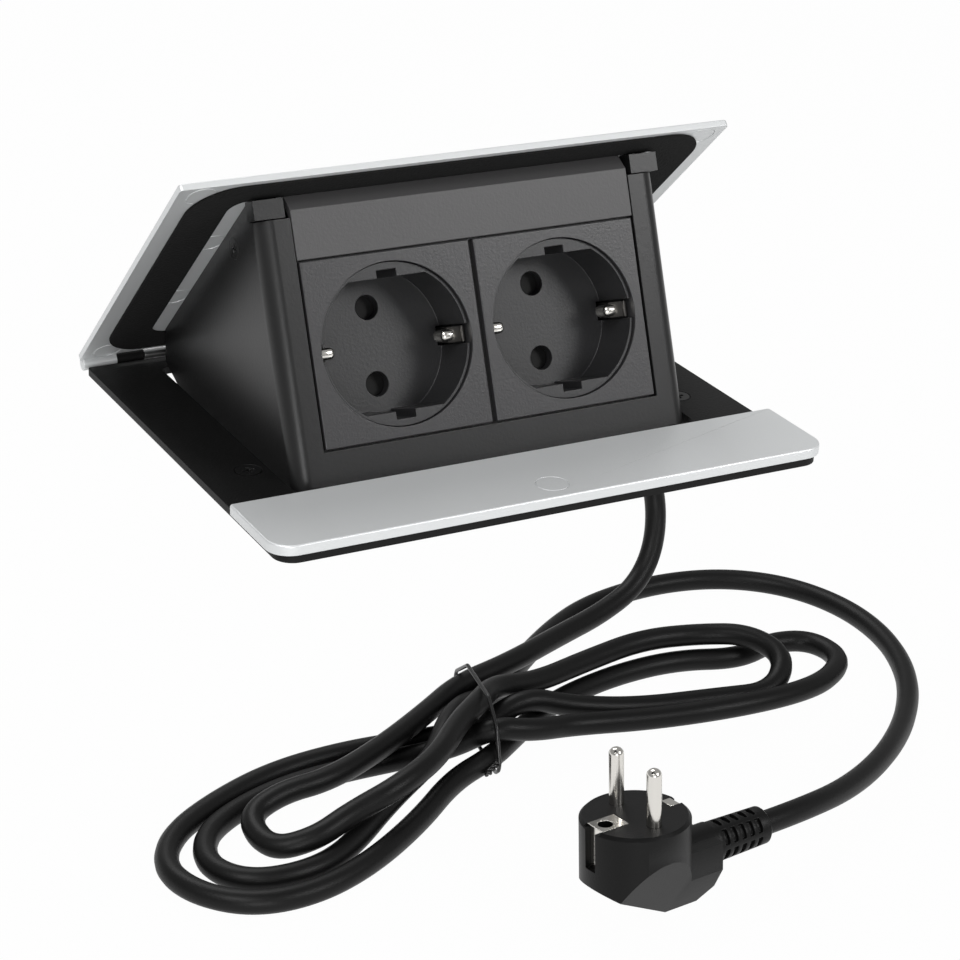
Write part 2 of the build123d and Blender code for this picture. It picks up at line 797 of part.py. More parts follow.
# Header bar over the modules
header_half = post_half - fit_gap
header_gap = 0.4
header_bottom = module + header_gap
header_drop = 5.16
header_top = face_height - header_drop
header_setback = 9.4
header_lid = lid_front + header_setback
header_thick = 2.0
with BuildPart() as header:
    with BuildSketch(Plane.YZ.offset(-header_half)):
        with BuildLine():
            Polyline(
                on_face(header_bottom, 0),
                on_face(header_top, 0),
                on_lid(header_lid, lid_under),
                on_lid(header_lid + header_thick, lid_under),
                on_face(header_top - header_thick / 2, header_thick),
                on_face(header_bottom, header_thick),
                close=True,
            )
        make_face()
    extrude(amount=2 * header_half)
save(header.part, "header_bar")

# Rails that join the housing to the lid
rail_thick = 2.0
rail_rear = -20.0
rail_setback = 10.4
leg_setback = 11.0
leg_width = 11.0
rail_front = lid_front + rail_setback
leg_front = rail_front + leg_setback
leg_rear = leg_front + leg_width
leg_depth = 7.5
rail_head_dia = 4.5
rail_head = 1.3
for side, name in ((-1, "left_lid_rail"), (1, "right_lid_rail")):
    x_in, x_out = block_in, inner_half - fit_gap
    with BuildPart() as rail:
        with BuildSketch(lid_plane.offset(lid_under)):
            with Locations((side * (x_in + x_out) / 2, (rail_rear + rail_front) / 2)):
                Rectangle(x_out - x_in, rail_rear - rail_front)
        extrude(amount=-rail_thick)
        with BuildSketch(lid_plane.offset(lid_under)):
            with Locations((side * (x_out - rail_thick / 2), (leg_rear + leg_front) / 2)):
                Rectangle(rail_thick, leg_rear - leg_front)
        extrude(amount=-rail_thick - leg_depth)
        with BuildSketch(face_plane):
            with Locations((side * (block_in + block_out) / 2, (block_bottom + block_top) / 2)):
                Rectangle(block_out - block_in, block_top - block_bottom)
        extrude(amount=-block_deep)
        with BuildSketch(lid_plane.offset(lid_under)):
            with Locations(*[(side * stud_x, y) for y in stud_rows]):
                Circle(stud_dia / 2)
        extrude(amount=-rail_thick, mode=Mode.SUBTRACT)
        with BuildSketch(Plane.YZ.offset(side * (x_out - rail_thick))):
            with Locations(side_spot):
                Circle(side_screw_dia / 2)
        extrude(amount=side * rail_thick, mode=Mode.SUBTRACT)
    save(rail.part, name)

with BuildPart() as rail_screws:
    rail_spots = [(side * stud_x, y) for side in (-1, 1) for y in stud_rows]
    with BuildSketch(lid_plane.offset(lid_under - rail_thick)):
        with Locations(*rail_spots):
            Circle(rail_head_dia / 2)
    extrude(amount=-rail_head)
    with BuildSketch(lid_plane.offset(lid_under - rail_thick)):
        with Locations(*rail_spots):
            Circle(stud_dia / 2 - run_gap)
    extrude(amount=rail_thick + stud_deep - run_gap)
    with BuildSketch(lid_plane.offset(lid_under - rail_thick - rail_head)):
        with Locations(*rail_spots):
            Rectangle(stud_dia, stud_dia / 4)
            Rectangle(stud_dia / 4, stud_dia)
    extrude(amount=rail_head / 2, mode=Mode.SUBTRACT)
save(rail_screws.part, "rail_screws")

side_screw_end = 0.4
with BuildPart() as side_screws:
    for side in (-1, 1):
        with BuildSketch(Plane.YZ.offset(side * housing_half)):
            with Locations(side_spot):
                Circle(side_head_dia / 2)
        extrude(amount=-side * side_screw_head)
        with BuildSketch(Plane.YZ.offset(side * housing_half)):
            with Locations(side_spot):
                Circle(side_screw_dia / 2 - run_gap)
        extrude(amount=-side * (wall + fit_gap + rail_thick - side_screw_end))
        with BuildSketch(Plane.YZ.offset(side * housing_half)):
            with Locations(side_spot):
                Rectangle(side_screw_dia, side_screw_dia / 4)
                Rectangle(side_screw_dia / 4, side_screw_dia)
        extrude(amount=-side * side_screw_head / 2, mode=Mode.SUBTRACT)
save(side_screws.part, "side_screws")

# Sockets
plate_thick = 2.0
body_deep = 16.5
plate_edge = 0.4
insert_front = 1.0
insert_gap = 0.1
insert_wall = 0.8
floor_deep = 15.5
insert_back = 18.5
flat_inset = 3.9
flat_half = recess_dia / 2 - flat_inset
key_width = 5.2
pin_hole_dia = 6.1
shutter_front = insert_back + fit_gap
shutter_thick = 1.2
shutter_travel = 6.6
shutter_right = 5.0
shutter_left = 11.5
shutter_beyond = 4.0
shutter_half = pin_spacing / 2 + shutter_beyond
shutter_hole_dia = 6.2
carrier_front = shutter_front + shutter_thick + fit_gap
carrier_back = 30.0
carrier_inset = 2.5
carrier_inset_high = 1.0
carrier_half = recess_dia / 2 - carrier_inset
carrier_half_high = recess_dia / 2 - carrier_inset_high
rim_high = 3.0
rim_side = 2.5
groove_deep = 1.7
groove_half = 1.7
groove_left = 3.0
contact_dia = 7.4
contact_bore = 4.9
contact_front = carrier_front + fit_gap
contact_back = carrier_back - fit_gap
contact_gap = 0.1
clip_thick = 0.8
clip_width = 4.0
clip_inset = 1.3
clip_x = recess_dia / 2 - clip_inset
clip_front = 3.0
clip_nose = 2.2
clip_nose_start = 4.0
clip_nose_end = 10.0
clip_slot_gap = 0.4
strap_back = carrier_back + fit_gap


def socket_plane(x, deep):
    y, z = on_face(module / 2, deep)
    return Plane(origin=(x, y, z), x_dir=(1, 0, 0), z_dir=(0, -cl, sl))


def socket_cover(x):
    """The 45 mm face plate with its square body, bored for the plug."""
    with BuildPart() as piece:
        with BuildSketch(socket_plane(x, plate_thick)):
            Rectangle(module, module)
        extrude(amount=plate_thick)
        chamfer(faces().sort_by(Axis((0, 0, 0), (0, -cl, sl)))[-1].edges(), plate_edge / 2)
        with BuildSketch(socket_plane(x, body_deep)):
            Rectangle(body_side, body_side)
        extrude(amount=body_deep - plate_thick)
        with BuildSketch(socket_plane(x, body_deep + over)):
            Circle(recess_dia / 2)
        extrude(amount=body_deep + 2 * over, mode=Mode.SUBTRACT)
    return piece.part


def socket_insert(x):
    """The cup in the recess: its wall, two flats with key slots, and the floor with the pin holes."""
    outer = recess_dia / 2 - insert_gap
    with BuildPart() as piece:
        with BuildSketch(socket_plane(x, insert_back)):
            Circle(outer)
        extrude(amount=insert_back - insert_front)
        with BuildSketch(socket_plane(x, floor_deep)) as pocket:
            Circle(outer - insert_wall)
            Rectangle(2 * outer, 2 * flat_half, mode=Mode.INTERSECT)
            with Locations((0, flat_half), (0, -flat_half)):
                Rectangle(key_width, recess_dia / 2 - flat_half)
            Circle(outer - insert_wall, mode=Mode.INTERSECT)
        extrude(amount=floor_deep + over, mode=Mode.SUBTRACT)
        with BuildSketch(socket_plane(x, insert_back + over)):
            with Locations((0, pin_spacing / 2), (0, -pin_spacing / 2)):
                Circle(pin_hole_dia / 2)
        extrude(amount=insert_back + over, mode=Mode.SUBTRACT)
        # slots for the earth clips
        with BuildSketch(socket_plane(x, insert_back + over)):
            for side in (-1, 1):
                with Locations((side * (clip_x + recess_dia / 2) / 2 - side * clip_slot_gap, 0)):
                    Rectangle(
                        recess_dia / 2 - clip_x + 2 * clip_slot_gap, clip_width + 2 * clip_slot_gap
                    )
        extrude(amount=insert_back + 2 * over, mode=Mode.SUBTRACT)
    return piece.part


def shutter(x):
    """The plate behind the pin holes, with its own holes beside them until it slides."""
    with BuildPart() as piece:
        with BuildSketch(socket_plane(x, shutter_front + shutter_thick)):
            with Locations(((shutter_right - shutter_left) / 2, 0)):
                Rectangle(shutter_right + shutter_left, 2 * shutter_half)
            with Locations((-shutter_travel, pin_spacing / 2), (-shutter_travel, -pin_spacing / 2)):
                Circle(shutter_hole_dia / 2, mode=Mode.SUBTRACT)
        extrude(amount=shutter_thick)
        # tab that the spring pushes
        with BuildSketch(socket_plane(x, carrier_front + groove_deep - fit_gap)):
            with Locations((shutter_right - rim_side / 4, 0)):
                Rectangle(rim_side / 2, 2 * groove_half - 2 * fit_gap)
        extrude(amount=groove_deep)
    return piece.part


def shutter_spring(x):
    """The plain sleeve of the shutter's return spring."""
    spring_r = groove_half - fit_gap
    start = shutter_right + run_gap
    end = carrier_half - rim_side - run_gap
    spot = socket_plane(x, carrier_front + groove_deep - fit_gap - spring_r)
    with BuildPart() as piece:
        with BuildSketch(Plane(origin=spot.from_local_coords((start, 0, 0)), x_dir=spot.y_dir, z_dir=(1, 0, 0))):
            Circle(spring_r)
            Circle(spring_r - spring_wire, mode=Mode.SUBTRACT)
        extrude(amount=end - start)
    return piece.part


def carrier(x):
    """The block behind the shutter that holds the contacts."""
    with BuildPart() as piece:
        with BuildSketch(socket_plane(x, carrier_back)):
            Rectangle(2 * carrier_half, 2 * carrier_half_high)
        extrude(amount=carrier_back - carrier_front)
        with BuildSketch(socket_plane(x, carrier_front)):
            with Locations(
                (0, carrier_half_high - rim_high / 2), (0, -carrier_half_high + rim_high / 2)
            ):
                Rectangle(2 * carrier_half, rim_high)
            with Locations((carrier_half - rim_side / 2, 0)):
                Rectangle(rim_side, 2 * carrier_half_high)
        extrude(amount=carrier_front - insert_back)
        with BuildSketch(socket_plane(x, carrier_back + over)):
            with Locations((0, pin_spacing / 2), (0, -pin_spacing / 2)):
                Circle(contact_dia / 2 + contact_gap)
        extrude(amount=carrier_back - carrier_front + 2 * over, mode=Mode.SUBTRACT)
        with BuildSketch(socket_plane(x, carrier_front + groove_deep)):
            with Locations(((groove_left + carrier_half - rim_side) / 2, 0)):
                Rectangle(carrier_half - rim_side - groove_left, 2 * groove_half)
        extrude(amount=groove_deep, mode=Mode.SUBTRACT)
    return piece.part


def pin_contact(x, up):
    """A slit brass sleeve that grips a plug's pin."""
    slit = contact_bore / 4
    with BuildPart() as piece:
        with BuildSketch(socket_plane(x, contact_back)):
            with Locations((0, up)):
                Circle(contact_dia / 2)
        extrude(amount=contact_back - contact_front)
        with BuildSketch(socket_plane(x, contact_back - plate_thick)):
            with Locations((0, up)):
                Circle(contact_bore / 2)
                Rectangle(2 * contact_dia, slit)
        extrude(amount=contact_back - contact_front, mode=Mode.SUBTRACT)
    return piece.part


def earth_strap(x):
    """The earth strap: two sprung side clips with noses, joined behind the carrier."""
    with BuildPart() as piece:
        spot = socket_plane(x, 0)
        low = Plane(
            origin=spot.from_local_coords((0, -clip_width / 2, 0)), x_dir=(1, 0, 0), z_dir=spot.y_dir
        )
        with BuildSketch(low):
            for side in (-1, 1):
                with BuildLine():
                    Polyline(
                        (side * (clip_x + clip_thick), clip_front),
                        (side * (clip_x + clip_thick), strap_back + clip_thick),
                        (0, strap_back + clip_thick),
                        (0, strap_back),
                        (side * clip_x, strap_back),
                        (side * clip_x, clip_nose_end),
                        (side * (clip_x - clip_nose), (clip_nose_start + clip_nose_end) / 2),
                        (side * clip_x, clip_nose_start),
                        (side * clip_x, clip_front),
                        close=True,
                    )
                make_face()
        extrude(amount=clip_width)
    return piece.part


for side, name in ((-1, "left"), (1, "right")):
    x = side * module_x
    save(socket_cover(x), f"{name}_socket_cover")
    save(socket_insert(x), f"{name}_socket_insert")
    save(shutter(x), f"{name}_shutter")
    save(shutter_spring(x), f"{name}_shutter_spring")
    save(carrier(x), f"{name}_contact_carrier")
    save(pin_contact(x, pin_spacing / 2), f"{name}_line_contact")
    save(pin_contact(x, -pin_spacing / 2), f"{name}_neutral_contact")
    save(earth_strap(x), f"{name}_earth_strap")

# Cable gland with its kink-stopping boot, and the nut inside the housing
boot_top = 13.0
boot_tip = 9.5
boot_length = 22.0
gland_flange = 1.5
neck_above = 5.5
passage_dia = 5.6
nut_across = 14.0
nut_thick = 3.5
boot_grooves = 4
boot_groove = 1.2
groove_pitch = boot_length / (boot_grooves + 2)
gland_tip_z = housing_bottom - boot_length
with BuildPart() as gland:
    with BuildSketch(Plane.XZ.offset(-gland_y)):
        with BuildLine():
            Polyline(
                (gland_x, gland_tip_z),
                (gland_x + boot_tip / 2, gland_tip_z),
                (gland_x + boot_top / 2, housing_bottom - gland_flange),
                (gland_x + boot_top / 2, housing_bottom),
                (gland_x + gland_neck / 2, housing_bottom),
                (gland_x + gland_neck / 2, housing_bottom + wall + neck_above),
                (gland_x, housing_bottom + wall + neck_above),
                close=True,
            )
        make_face()
    revolve(axis=Axis((gland_x, gland_y, 0), (0, 0, 1)))
    for i in range(boot_grooves):
        with BuildSketch(Plane.XY.offset(gland_tip_z + (i + 1) * groove_pitch)):
            with Locations((gland_x, gland_y)):
                Circle(boot_top)
                Circle(cord_dia / 2, mode=Mode.SUBTRACT)
        extrude(amount=boot_groove, mode=Mode.SUBTRACT)
    with BuildSketch(Plane.XY.offset(gland_tip_z)):
        with Locations((gland_x, gland_y)):
            Circle(passage_dia / 2)
    extrude(amount=boot_length + wall + neck_above, mode=Mode.SUBTRACT)
save(gland.part, "cord_gland")

with BuildPart() as nut:
    with BuildSketch(Plane.XY.offset(housing_bottom + wall)):
        with Locations((gland_x, gland_y)):
            RegularPolygon(nut_across / 2, 6, major_radius=False)
            Circle(gland_neck / 2 + run_gap, mode=Mode.SUBTRACT)
    extrude(amount=nut_thick)
save(nut.part, "gland_nut")


def turned(a, b, c):
    """The angle that a route turns through at its middle point."""
    before, after = Vector(b) - Vector(a), Vector(c) - Vector(b)
    return before.get_angle(after)


def bend_radii(points):
    """One radius per corner, each arc taking the same share of the shorter run beside it."""
    radii = []
    for a, b, c in zip(points, points[1:], points[2:]):
        radii.append(arc_share * min(dist(a, b), dist(b, c)) / tan(radians(turned(a, b, c) / 2)))
    return radii


arc_share = 0.45


def tube(points, dia):
    """A round tube along straight runs joined by tangent arcs, and its middle line."""
    with BuildPart() as piece:
        with BuildLine() as route:
            FilletPolyline(*points, radius=bend_radii(points))
        with BuildSketch(Plane(origin=points[0], z_dir=Vector(points[1]) - Vector(points[0]))):
            Circle(dia / 2)
        sweep(path=route.wires()[0])
    return piece.part, route.wires()[0]


# Insulated conductors from the gland to the contacts and straps, a jumper for the second socket
wire_dia = 2.4
wire_back = 36.0
wire_side = 1.6
wire_drop = 3.0
conductor_spread = 1.45


def inside(x, up, deep):
    y, z = on_face(up, deep)
    return (x, y, z)


earth_back = strap_back + clip_thick
for name, up, start, turn_z, angle in (
    ("line_wires", module / 2 + pin_spacing / 2, contact_back, 18.0, 90),
    ("neutral_wires", module / 2 - pin_spacing / 2, contact_back, 9.6, 210),
    ("earth_wires", module / 2, earth_back, 13.0, -30),
):
    back = wire_back if start == contact_back else wire_back + 2 * wire_dia
    jumper = [
        inside(-module_x, up, start),
        inside(-module_x, up, back),
        inside(module_x - wire_side, up, back),
        inside(module_x - wire_side, up, start),
    ]
    end_x = gland_x + conductor_spread * cos(radians(angle))
    end_y = gland_y + conductor_spread * sin(radians(angle))
    feed = [
        inside(module_x + wire_side, up, start),
        inside(module_x + wire_side, up, back),
        (end_x, end_y, turn_z),
        (end_x, end_y, wire_drop),
    ]
    with BuildPart() as wires:
        for route in (jumper, feed):
            add(tube(route, wire_dia)[0])
    save(wires.part, name)

# The cord's route under the desk: it hangs from the gland, lies in a tied hank and ends at the plug
lying = -floor_drop + cord_dia / 2
gland_tip = (gland_x, gland_y, gland_tip_z)
first_run = 14.5
lead_route = [
    (38.5, 38.5, -46.5),
    (49.0, 57.0, -51.5),
    (72.0, 90.0, -59.0),
    (105.0, 132.0, -70.0),
    (139.0, 172.0, -85.0),
    (171.0, 204.0, -103.0),
    (198.0, 223.0, -125.0),
    (208.5, 222.0, -148.0),
    (205.0, 214.0, -167.0),
    (194.0, 208.0, -180.5),
    (174.0, 201.0, -185.3),
    (152.0, 192.5, -185.5),
]
hank_route = [
    (122.1, 177.6, -183.8),
    (98.3, 171.2, -184.0),
    (78.8, 158.5, -184.9),
    (55.5, 144.4, -185.3),
    (31.0, 132.6, -185.3),
    (13.1, 132.7, -186.1),
    (-1.4, 127.5, -189.2),
    (-0.6, 109.7, -191.6),
    (13.0, 104.5, -187.8),
    (27.4, 108.6, -184.3),
    (43.9, 107.7, -178.0),
    (63.8, 118.8, -177.3),
    (79.5, 135.3, -176.8),
    (93.3, 146.5, -177.5),
    (106.0, 159.6, -180.3),
    (124.4, 162.4, -184.7),
    (149.9, 170.5, -185.4),
    (177.0, 176.2, -185.1),
    (199.8, 172.6, -185.7),
    (215.5, 162.3, -184.2),
    (221.6, 146.2, -187.5),
    (208.9, 135.5, lying),
    (187.5, 139.3, -193.6),
    (157.2, 145.8, lying),
    (132.8, 149.9, -189.8),
    (114.5, 152.1, -182.8),
    (96.8, 151.7, -191.5),
    (76.4, 157.0, -193.8),
    (48.9, 160.5, lying),
    (20.4, 157.7, -193.9),
    (-5.4, 147.1, lying),
    (-25.1, 133.9, lying),
    (-34.0, 116.8, lying),
    (-29.6, 99.3, lying),
    (-15.9, 86.5, lying),
    (4.1, 84.6, lying),
    (27.2, 92.8, -193.9),
    (52.7, 109.4, lying),
    (73.9, 127.1, -193.5),
    (91.8, 132.5, -191.5),
    (105.4, 142.3, -191.9),
    (118.1, 153.2, -193.9),
    (136.2, 163.7, lying),
    (163.9, 170.8, lying),
    (190.0, 171.3, lying),
    (212.4, 162.7, lying),
    (229.7, 169.0, lying),
    (245.2, 164.4, lying),
    (247.6, 146.9, lying),
    (233.0, 135.1, lying),
    (211.4, 127.6, -191.6),
    (183.8, 126.1, -190.0),
    (154.5, 132.2, -190.9),
    (127.1, 137.5, -189.4),
    (108.0, 133.2, -185.1),
    (92.6, 135.2, -181.5),
    (83.8, 145.2, -192.0),
    (66.5, 148.2, lying),
    (44.6, 149.1, lying),
    (22.4, 147.9, lying),
    (1.1, 140.9, lying),
    (-15.5, 129.4, lying),
    (-21.1, 112.1, lying),
    (-12.1, 98.4, lying),
    (7.4, 96.2, lying),
    (24.4, 103.4, lying),
    (45.1, 116.7, -188.2),
    (68.4, 130.6, -185.4),
    (82.6, 147.8, -181.9),
    (96.4, 159.5, -184.2),
    (111.1, 168.8, -192.1),
    (129.8, 188.2, -193.6),
]
tail_route = [
    (158.5, 211.5, lying),
    (184.0, 225.0, lying),
    (215.3, 229.7, lying),
    (242.9, 223.9, lying),
    (263.2, 207.4, lying),
    (273.5, 182.3, lying),
    (272.8, 153.7, lying),
    (261.7, 124.5, lying),
    (242.0, 99.0, -193.4),
    (215.5, 75.3, -190.0),
    (187.0, 57.0, -186.0),
]
split_share = 0.5


def between(a, b):
    """The point where one tube ends and the next one starts, half way along their common run."""
    return tuple(p + split_share * (q - p) for p, q in zip(a, b))


# Plug lying with its pins up
plug_x = 91.0
plug_y = 39.0
plug_turn = 6.5
plug_tilt = 5.5
plug_dia = 35.0
plug_tall = 36.0
plug_low = 20.0
plug_edge = 1.0
wedge_top = 10.0
keel_half = 3.0
keel_start = 9.5
keel_end = 27.0
keel_rise = 5.0
shoulder = 14.0
shoulder_half = 10.0
neck_dia = 14.0
neck_axis = 19.0
neck_end = 29.0
relief_end = 51.0
relief_dia = 13.4
relief_tip_dia = 12.2
relief_round = 1.5
pin_dia = 4.8
pin_length = 19.0
pin_root = 8.0
pin_round = 2.2
ct, st = cos(radians(plug_turn)), sin(radians(plug_turn))
plug_face_z = plug_tall - floor_drop
lean, upright = sin(radians(plug_tilt)), cos(radians(plug_tilt))
plug_plane = Plane(
    origin=(plug_x, plug_y, plug_face_z), x_dir=(ct, st, 0), z_dir=(-st * lean, ct * lean, upright)
)
cord_out = Plane(origin=plug_plane.from_local_coords((0, 0, -neck_axis)), x_dir=(-st, ct, 0), z_dir=(ct, st, 0))
relief_tip = tuple(plug_plane.from_local_coords((relief_end, 0, -neck_axis)))
relief_run = tuple(plug_plane.from_local_coords((relief_end + 2 * cord_dia, 0, -neck_axis)))

first_point = (gland_x, gland_y, gland_tip_z - first_run)
lead_points = [gland_tip, first_point] + lead_route + [between(lead_route[-1], hank_route[0])]
hank_points = (
    [between(lead_route[-1], hank_route[0])] + hank_route + [between(hank_route[-1], tail_route[0])]
)
tail_points = [between(hank_route[-1], tail_route[0])] + tail_route + [relief_run, relief_tip]
cord_lines = {}
for name, points in (("cord_lead", lead_points), ("cord_hank", hank_points), ("cord_tail", tail_points)):
    cord, line = tube(points, cord_dia)
    save(cord, name)
    cord_lines[name] = line
    radii = [round(r, 1) for r in bend_radii(points)]
    print(name, "length", round(line.length, 1), "volume over section times length",
          round(cord.volume / (pi * cord_dia**2 / 4 * line.length), 4), "bend radii", radii)

# The least gap of the hank to itself, on points along its middle line
gap_points = 900
near_along = 4 * cord_dia
line = cord_lines["cord_hank"]
spots = [tuple(line.position_at(i / gap_points)) for i in range(gap_points + 1)]
skip = int(near_along / line.length * gap_points)
least = min(dist(spots[i], spots[j]) for i in range(gap_points) for j in range(i + skip, gap_points + 1))
print("cord_hank least gap to itself", round(least - cord_dia, 2))

# Wire tie round the bundle
tie_dia = 1.4
tie_bend = 2.8
tie_middle = (96.5, 153.6, 0)
tie_plane = Plane(origin=tie_middle, x_dir=(-0.17, -0.985, 0), z_dir=(-0.985, 0.17, 0))
tie_outline = [
    (23.1, -196.8), (26.0, -194.4), (26.7, -191.7), (22.3, -179.7), (12.5, -172.9),
    (-11.1, -172.9), (-23.0, -181.2), (-24.0, -183.8), (-23.2, -186.6), (-11.1, -196.8),
]
with BuildPart() as tie:
    with BuildLine(tie_plane) as loop:
        FilletPolyline(*tie_outline, radius=tie_bend, close=True)
    start = loop.wires()[0]
    with BuildSketch(Plane(origin=start @ 0, z_dir=start % 0)):
        Circle(tie_dia / 2)
    sweep(path=start)
save(tie.part, "cord_tie")

# Plug body with its keel, the neck towards the cord, and recesses for pins and earth contacts
earth_hole_x = 11.5
earth_hole_dia = 5.2
earth_hole_deep = 15.0
earth_plate_in = 5.4
earth_sink = 2.0
earth_plate_out = plug_dia / 2 - earth_sink
earth_plate_half = 3.9
earth_thick = 0.8
earth_half = 2.4
earth_down = 14.0
tab_in = 12.0
with BuildPart() as plug:
    with BuildSketch(plug_plane.offset(-plug_tall)):
        Circle(plug_dia / 2)
    extrude(amount=plug_tall)
    chamfer(faces().sort_by(Axis(plug_plane.origin, plug_plane.z_dir))[-1].edges(), plug_edge)
    with BuildSketch(plug_plane.offset(-plug_tall)):
        with Locations((keel_end / 2, 0)):
            Rectangle(keel_end, 2 * shoulder_half)
    extrude(amount=plug_tall - shoulder)
    # the flanks slope in to a narrow keel, and the end away from the cord slopes down to it
    with BuildSketch(Plane(origin=plug_plane.origin, x_dir=plug_plane.y_dir, z_dir=plug_plane.x_dir)):
        for side in (-1, 1):
            with BuildLine():
                Polyline(
                    (side * plug_dia / 2, -wedge_top),
                    (side * keel_half, -plug_tall),
                    (side * keel_half, -plug_tall - over),
                    (side * (plug_dia / 2 + over), -plug_tall - over),
                    (side * (plug_dia / 2 + over), -wedge_top),
                    close=True,
                )
            make_face()
    extrude(amount=keel_end + over, both=True, mode=Mode.SUBTRACT)
    with BuildSketch(Plane(origin=plug_plane.origin, x_dir=plug_plane.x_dir, z_dir=-plug_plane.y_dir)):
        with BuildLine():
            Polyline(
                (-plug_dia / 2 - over, -plug_low),
                (-plug_dia / 2, -plug_low),
                (keel_start, -plug_tall),
                (keel_start, -plug_tall - over),
                (-plug_dia / 2 - over, -plug_tall - over),
                close=True,
            )
        make_face()
        with BuildLine():
            Polyline(
                (keel_end - keel_rise, -plug_tall),
                (keel_end, -plug_tall + keel_rise),
                (keel_end + over, -plug_tall + keel_rise),
                (keel_end + over, -plug_tall - over),
                (keel_end - keel_rise, -plug_tall - over),
                close=True,
            )
        make_face()
    extrude(amount=plug_dia, both=True, mode=Mode.SUBTRACT)
    with BuildSketch(cord_out):
        Circle(neck_dia / 2)
    extrude(amount=neck_end)
    # holes for the pins
    with BuildSketch(plug_plane.offset(-pin_root)):
        with Locations((0, pin_spacing / 2), (0, -pin_spacing / 2)):
            Circle(pin_dia / 2 + run_gap)
        with Locations((-earth_hole_x, 0)):
            Circle(earth_hole_dia / 2)
    extrude(amount=pin_root, mode=Mode.SUBTRACT)
    with BuildSketch(plug_plane.offset(-earth_hole_deep)):
        with Locations((-earth_hole_x, 0)):
            Circle(earth_hole_dia / 2)
    extrude(amount=earth_hole_deep, mode=Mode.SUBTRACT)
    # seats of the earth contact's plates and side strips
    with BuildSketch(plug_plane.offset(-earth_thick - run_gap)):
        with Locations((-(earth_plate_in + plug_dia / 2) / 2, 0)):
            Rectangle(plug_dia / 2 - earth_plate_in + 2 * run_gap, 2 * (earth_plate_half + run_gap))
        with Locations(((tab_in + plug_dia / 2) / 2, 0)):
            Rectangle(plug_dia / 2 - tab_in + 2 * run_gap, 2 * (earth_half + run_gap))
    extrude(amount=plug_low, mode=Mode.SUBTRACT)
    with BuildSketch(plug_plane.offset(-earth_down - run_gap)):
        for side in (-1, 1):
            with Locations((side * (earth_plate_out - earth_thick - run_gap + plug_dia / 2) / 2, 0)):
                Rectangle(
                    plug_dia / 2 - earth_plate_out + earth_thick + run_gap, 2 * (earth_half + run_gap)
                )
    extrude(amount=plug_low, mode=Mode.SUBTRACT)
save(plug.part, "plug_body")

with BuildPart() as relief:
    with BuildSketch(cord_out.offset(neck_end)):
        Circle(relief_dia / 2)
    with BuildSketch(cord_out.offset(relief_end)):
        Circle(relief_tip_dia / 2)
    loft()
    fillet(edges().sort_by(Axis(cord_out.origin, cord_out.z_dir))[-1], relief_round)
save(relief.part, "plug_strain_relief")

with BuildPart() as plug_pins:
    with BuildSketch(plug_plane.offset(-pin_root)):
        with Locations((0, pin_spacing / 2), (0, -pin_spacing / 2)):
            Circle(pin_dia / 2)
    extrude(amount=pin_root + pin_length)
    fillet(faces().group_by(Axis(plug_plane.origin, plug_plane.z_dir))[-1].edges(), pin_round)
save(plug_pins.part, "plug_pins")

with BuildPart() as plug_earth:
    with BuildSketch(plug_plane.offset(-earth_thick)):
        with Locations((-(earth_plate_in + earth_plate_out) / 2, 0)):
            Rectangle(earth_plate_out - earth_plate_in, 2 * earth_plate_half)
        with Locations((-earth_hole_x, 0)):
            Circle(pin_dia / 2, mode=Mode.SUBTRACT)
        with Locations(((tab_in + earth_plate_out) / 2, 0)):
            Rectangle(earth_plate_out - tab_in, 2 * earth_half)
    extrude(amount=earth_thick)
    with BuildSketch(plug_plane.offset(-earth_down)):
        for side in (-1, 1):
            with Locations((side * (earth_plate_out - earth_thick / 2), 0)):
                Rectangle(earth_thick, 2 * earth_half)
    extrude(amount=earth_down)
save(plug_earth.part, "plug_earth_contact")
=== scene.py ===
import math
import bpy
from mathutils import Matrix, Vector


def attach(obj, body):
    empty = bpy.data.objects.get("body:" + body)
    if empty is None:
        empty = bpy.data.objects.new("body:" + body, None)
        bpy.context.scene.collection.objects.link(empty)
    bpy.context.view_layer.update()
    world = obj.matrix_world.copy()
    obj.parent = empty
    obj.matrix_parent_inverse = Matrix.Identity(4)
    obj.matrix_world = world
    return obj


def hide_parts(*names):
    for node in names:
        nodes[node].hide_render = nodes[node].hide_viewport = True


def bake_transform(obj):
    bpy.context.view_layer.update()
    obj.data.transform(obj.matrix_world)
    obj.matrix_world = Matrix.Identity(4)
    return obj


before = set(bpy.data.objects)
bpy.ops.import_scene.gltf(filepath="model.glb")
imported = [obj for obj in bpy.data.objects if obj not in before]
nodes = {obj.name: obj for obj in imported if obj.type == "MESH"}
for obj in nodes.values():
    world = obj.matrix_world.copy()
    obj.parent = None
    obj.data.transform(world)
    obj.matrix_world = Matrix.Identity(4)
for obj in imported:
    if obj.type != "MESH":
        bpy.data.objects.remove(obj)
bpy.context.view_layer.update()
bpy.ops.object.select_all(action="DESELECT")

# The view: the fitted stand of the photograph's camera, about 0.66 m from the frame's origin, in
# front of the unit and 24 degrees above it, with a long lens. Right, up and back are its own axes.
camera_place = (-0.282658, -0.539682, 0.252639)
camera_right = Vector((0.884828, -0.464716, 0.033453))
camera_up = Vector((0.161260, 0.372823, 0.913782))
camera_back = Vector((-0.437121, -0.803145, 0.404824))
view_data = bpy.data.cameras.new("view")
view_data.lens = 96.83
view_data.sensor_width = 36.0
view_data.clip_start = 0.05
view_camera = bpy.data.objects.new("view", view_data)
bpy.context.scene.collection.objects.link(view_camera)
stand = Matrix((camera_right, camera_up, camera_back)).transposed().to_4x4()
view_camera.matrix_world = Matrix.Translation(camera_place) @ stand
bpy.context.scene.camera = view_camera
bpy.context.scene.view_settings.view_transform = "Standard"


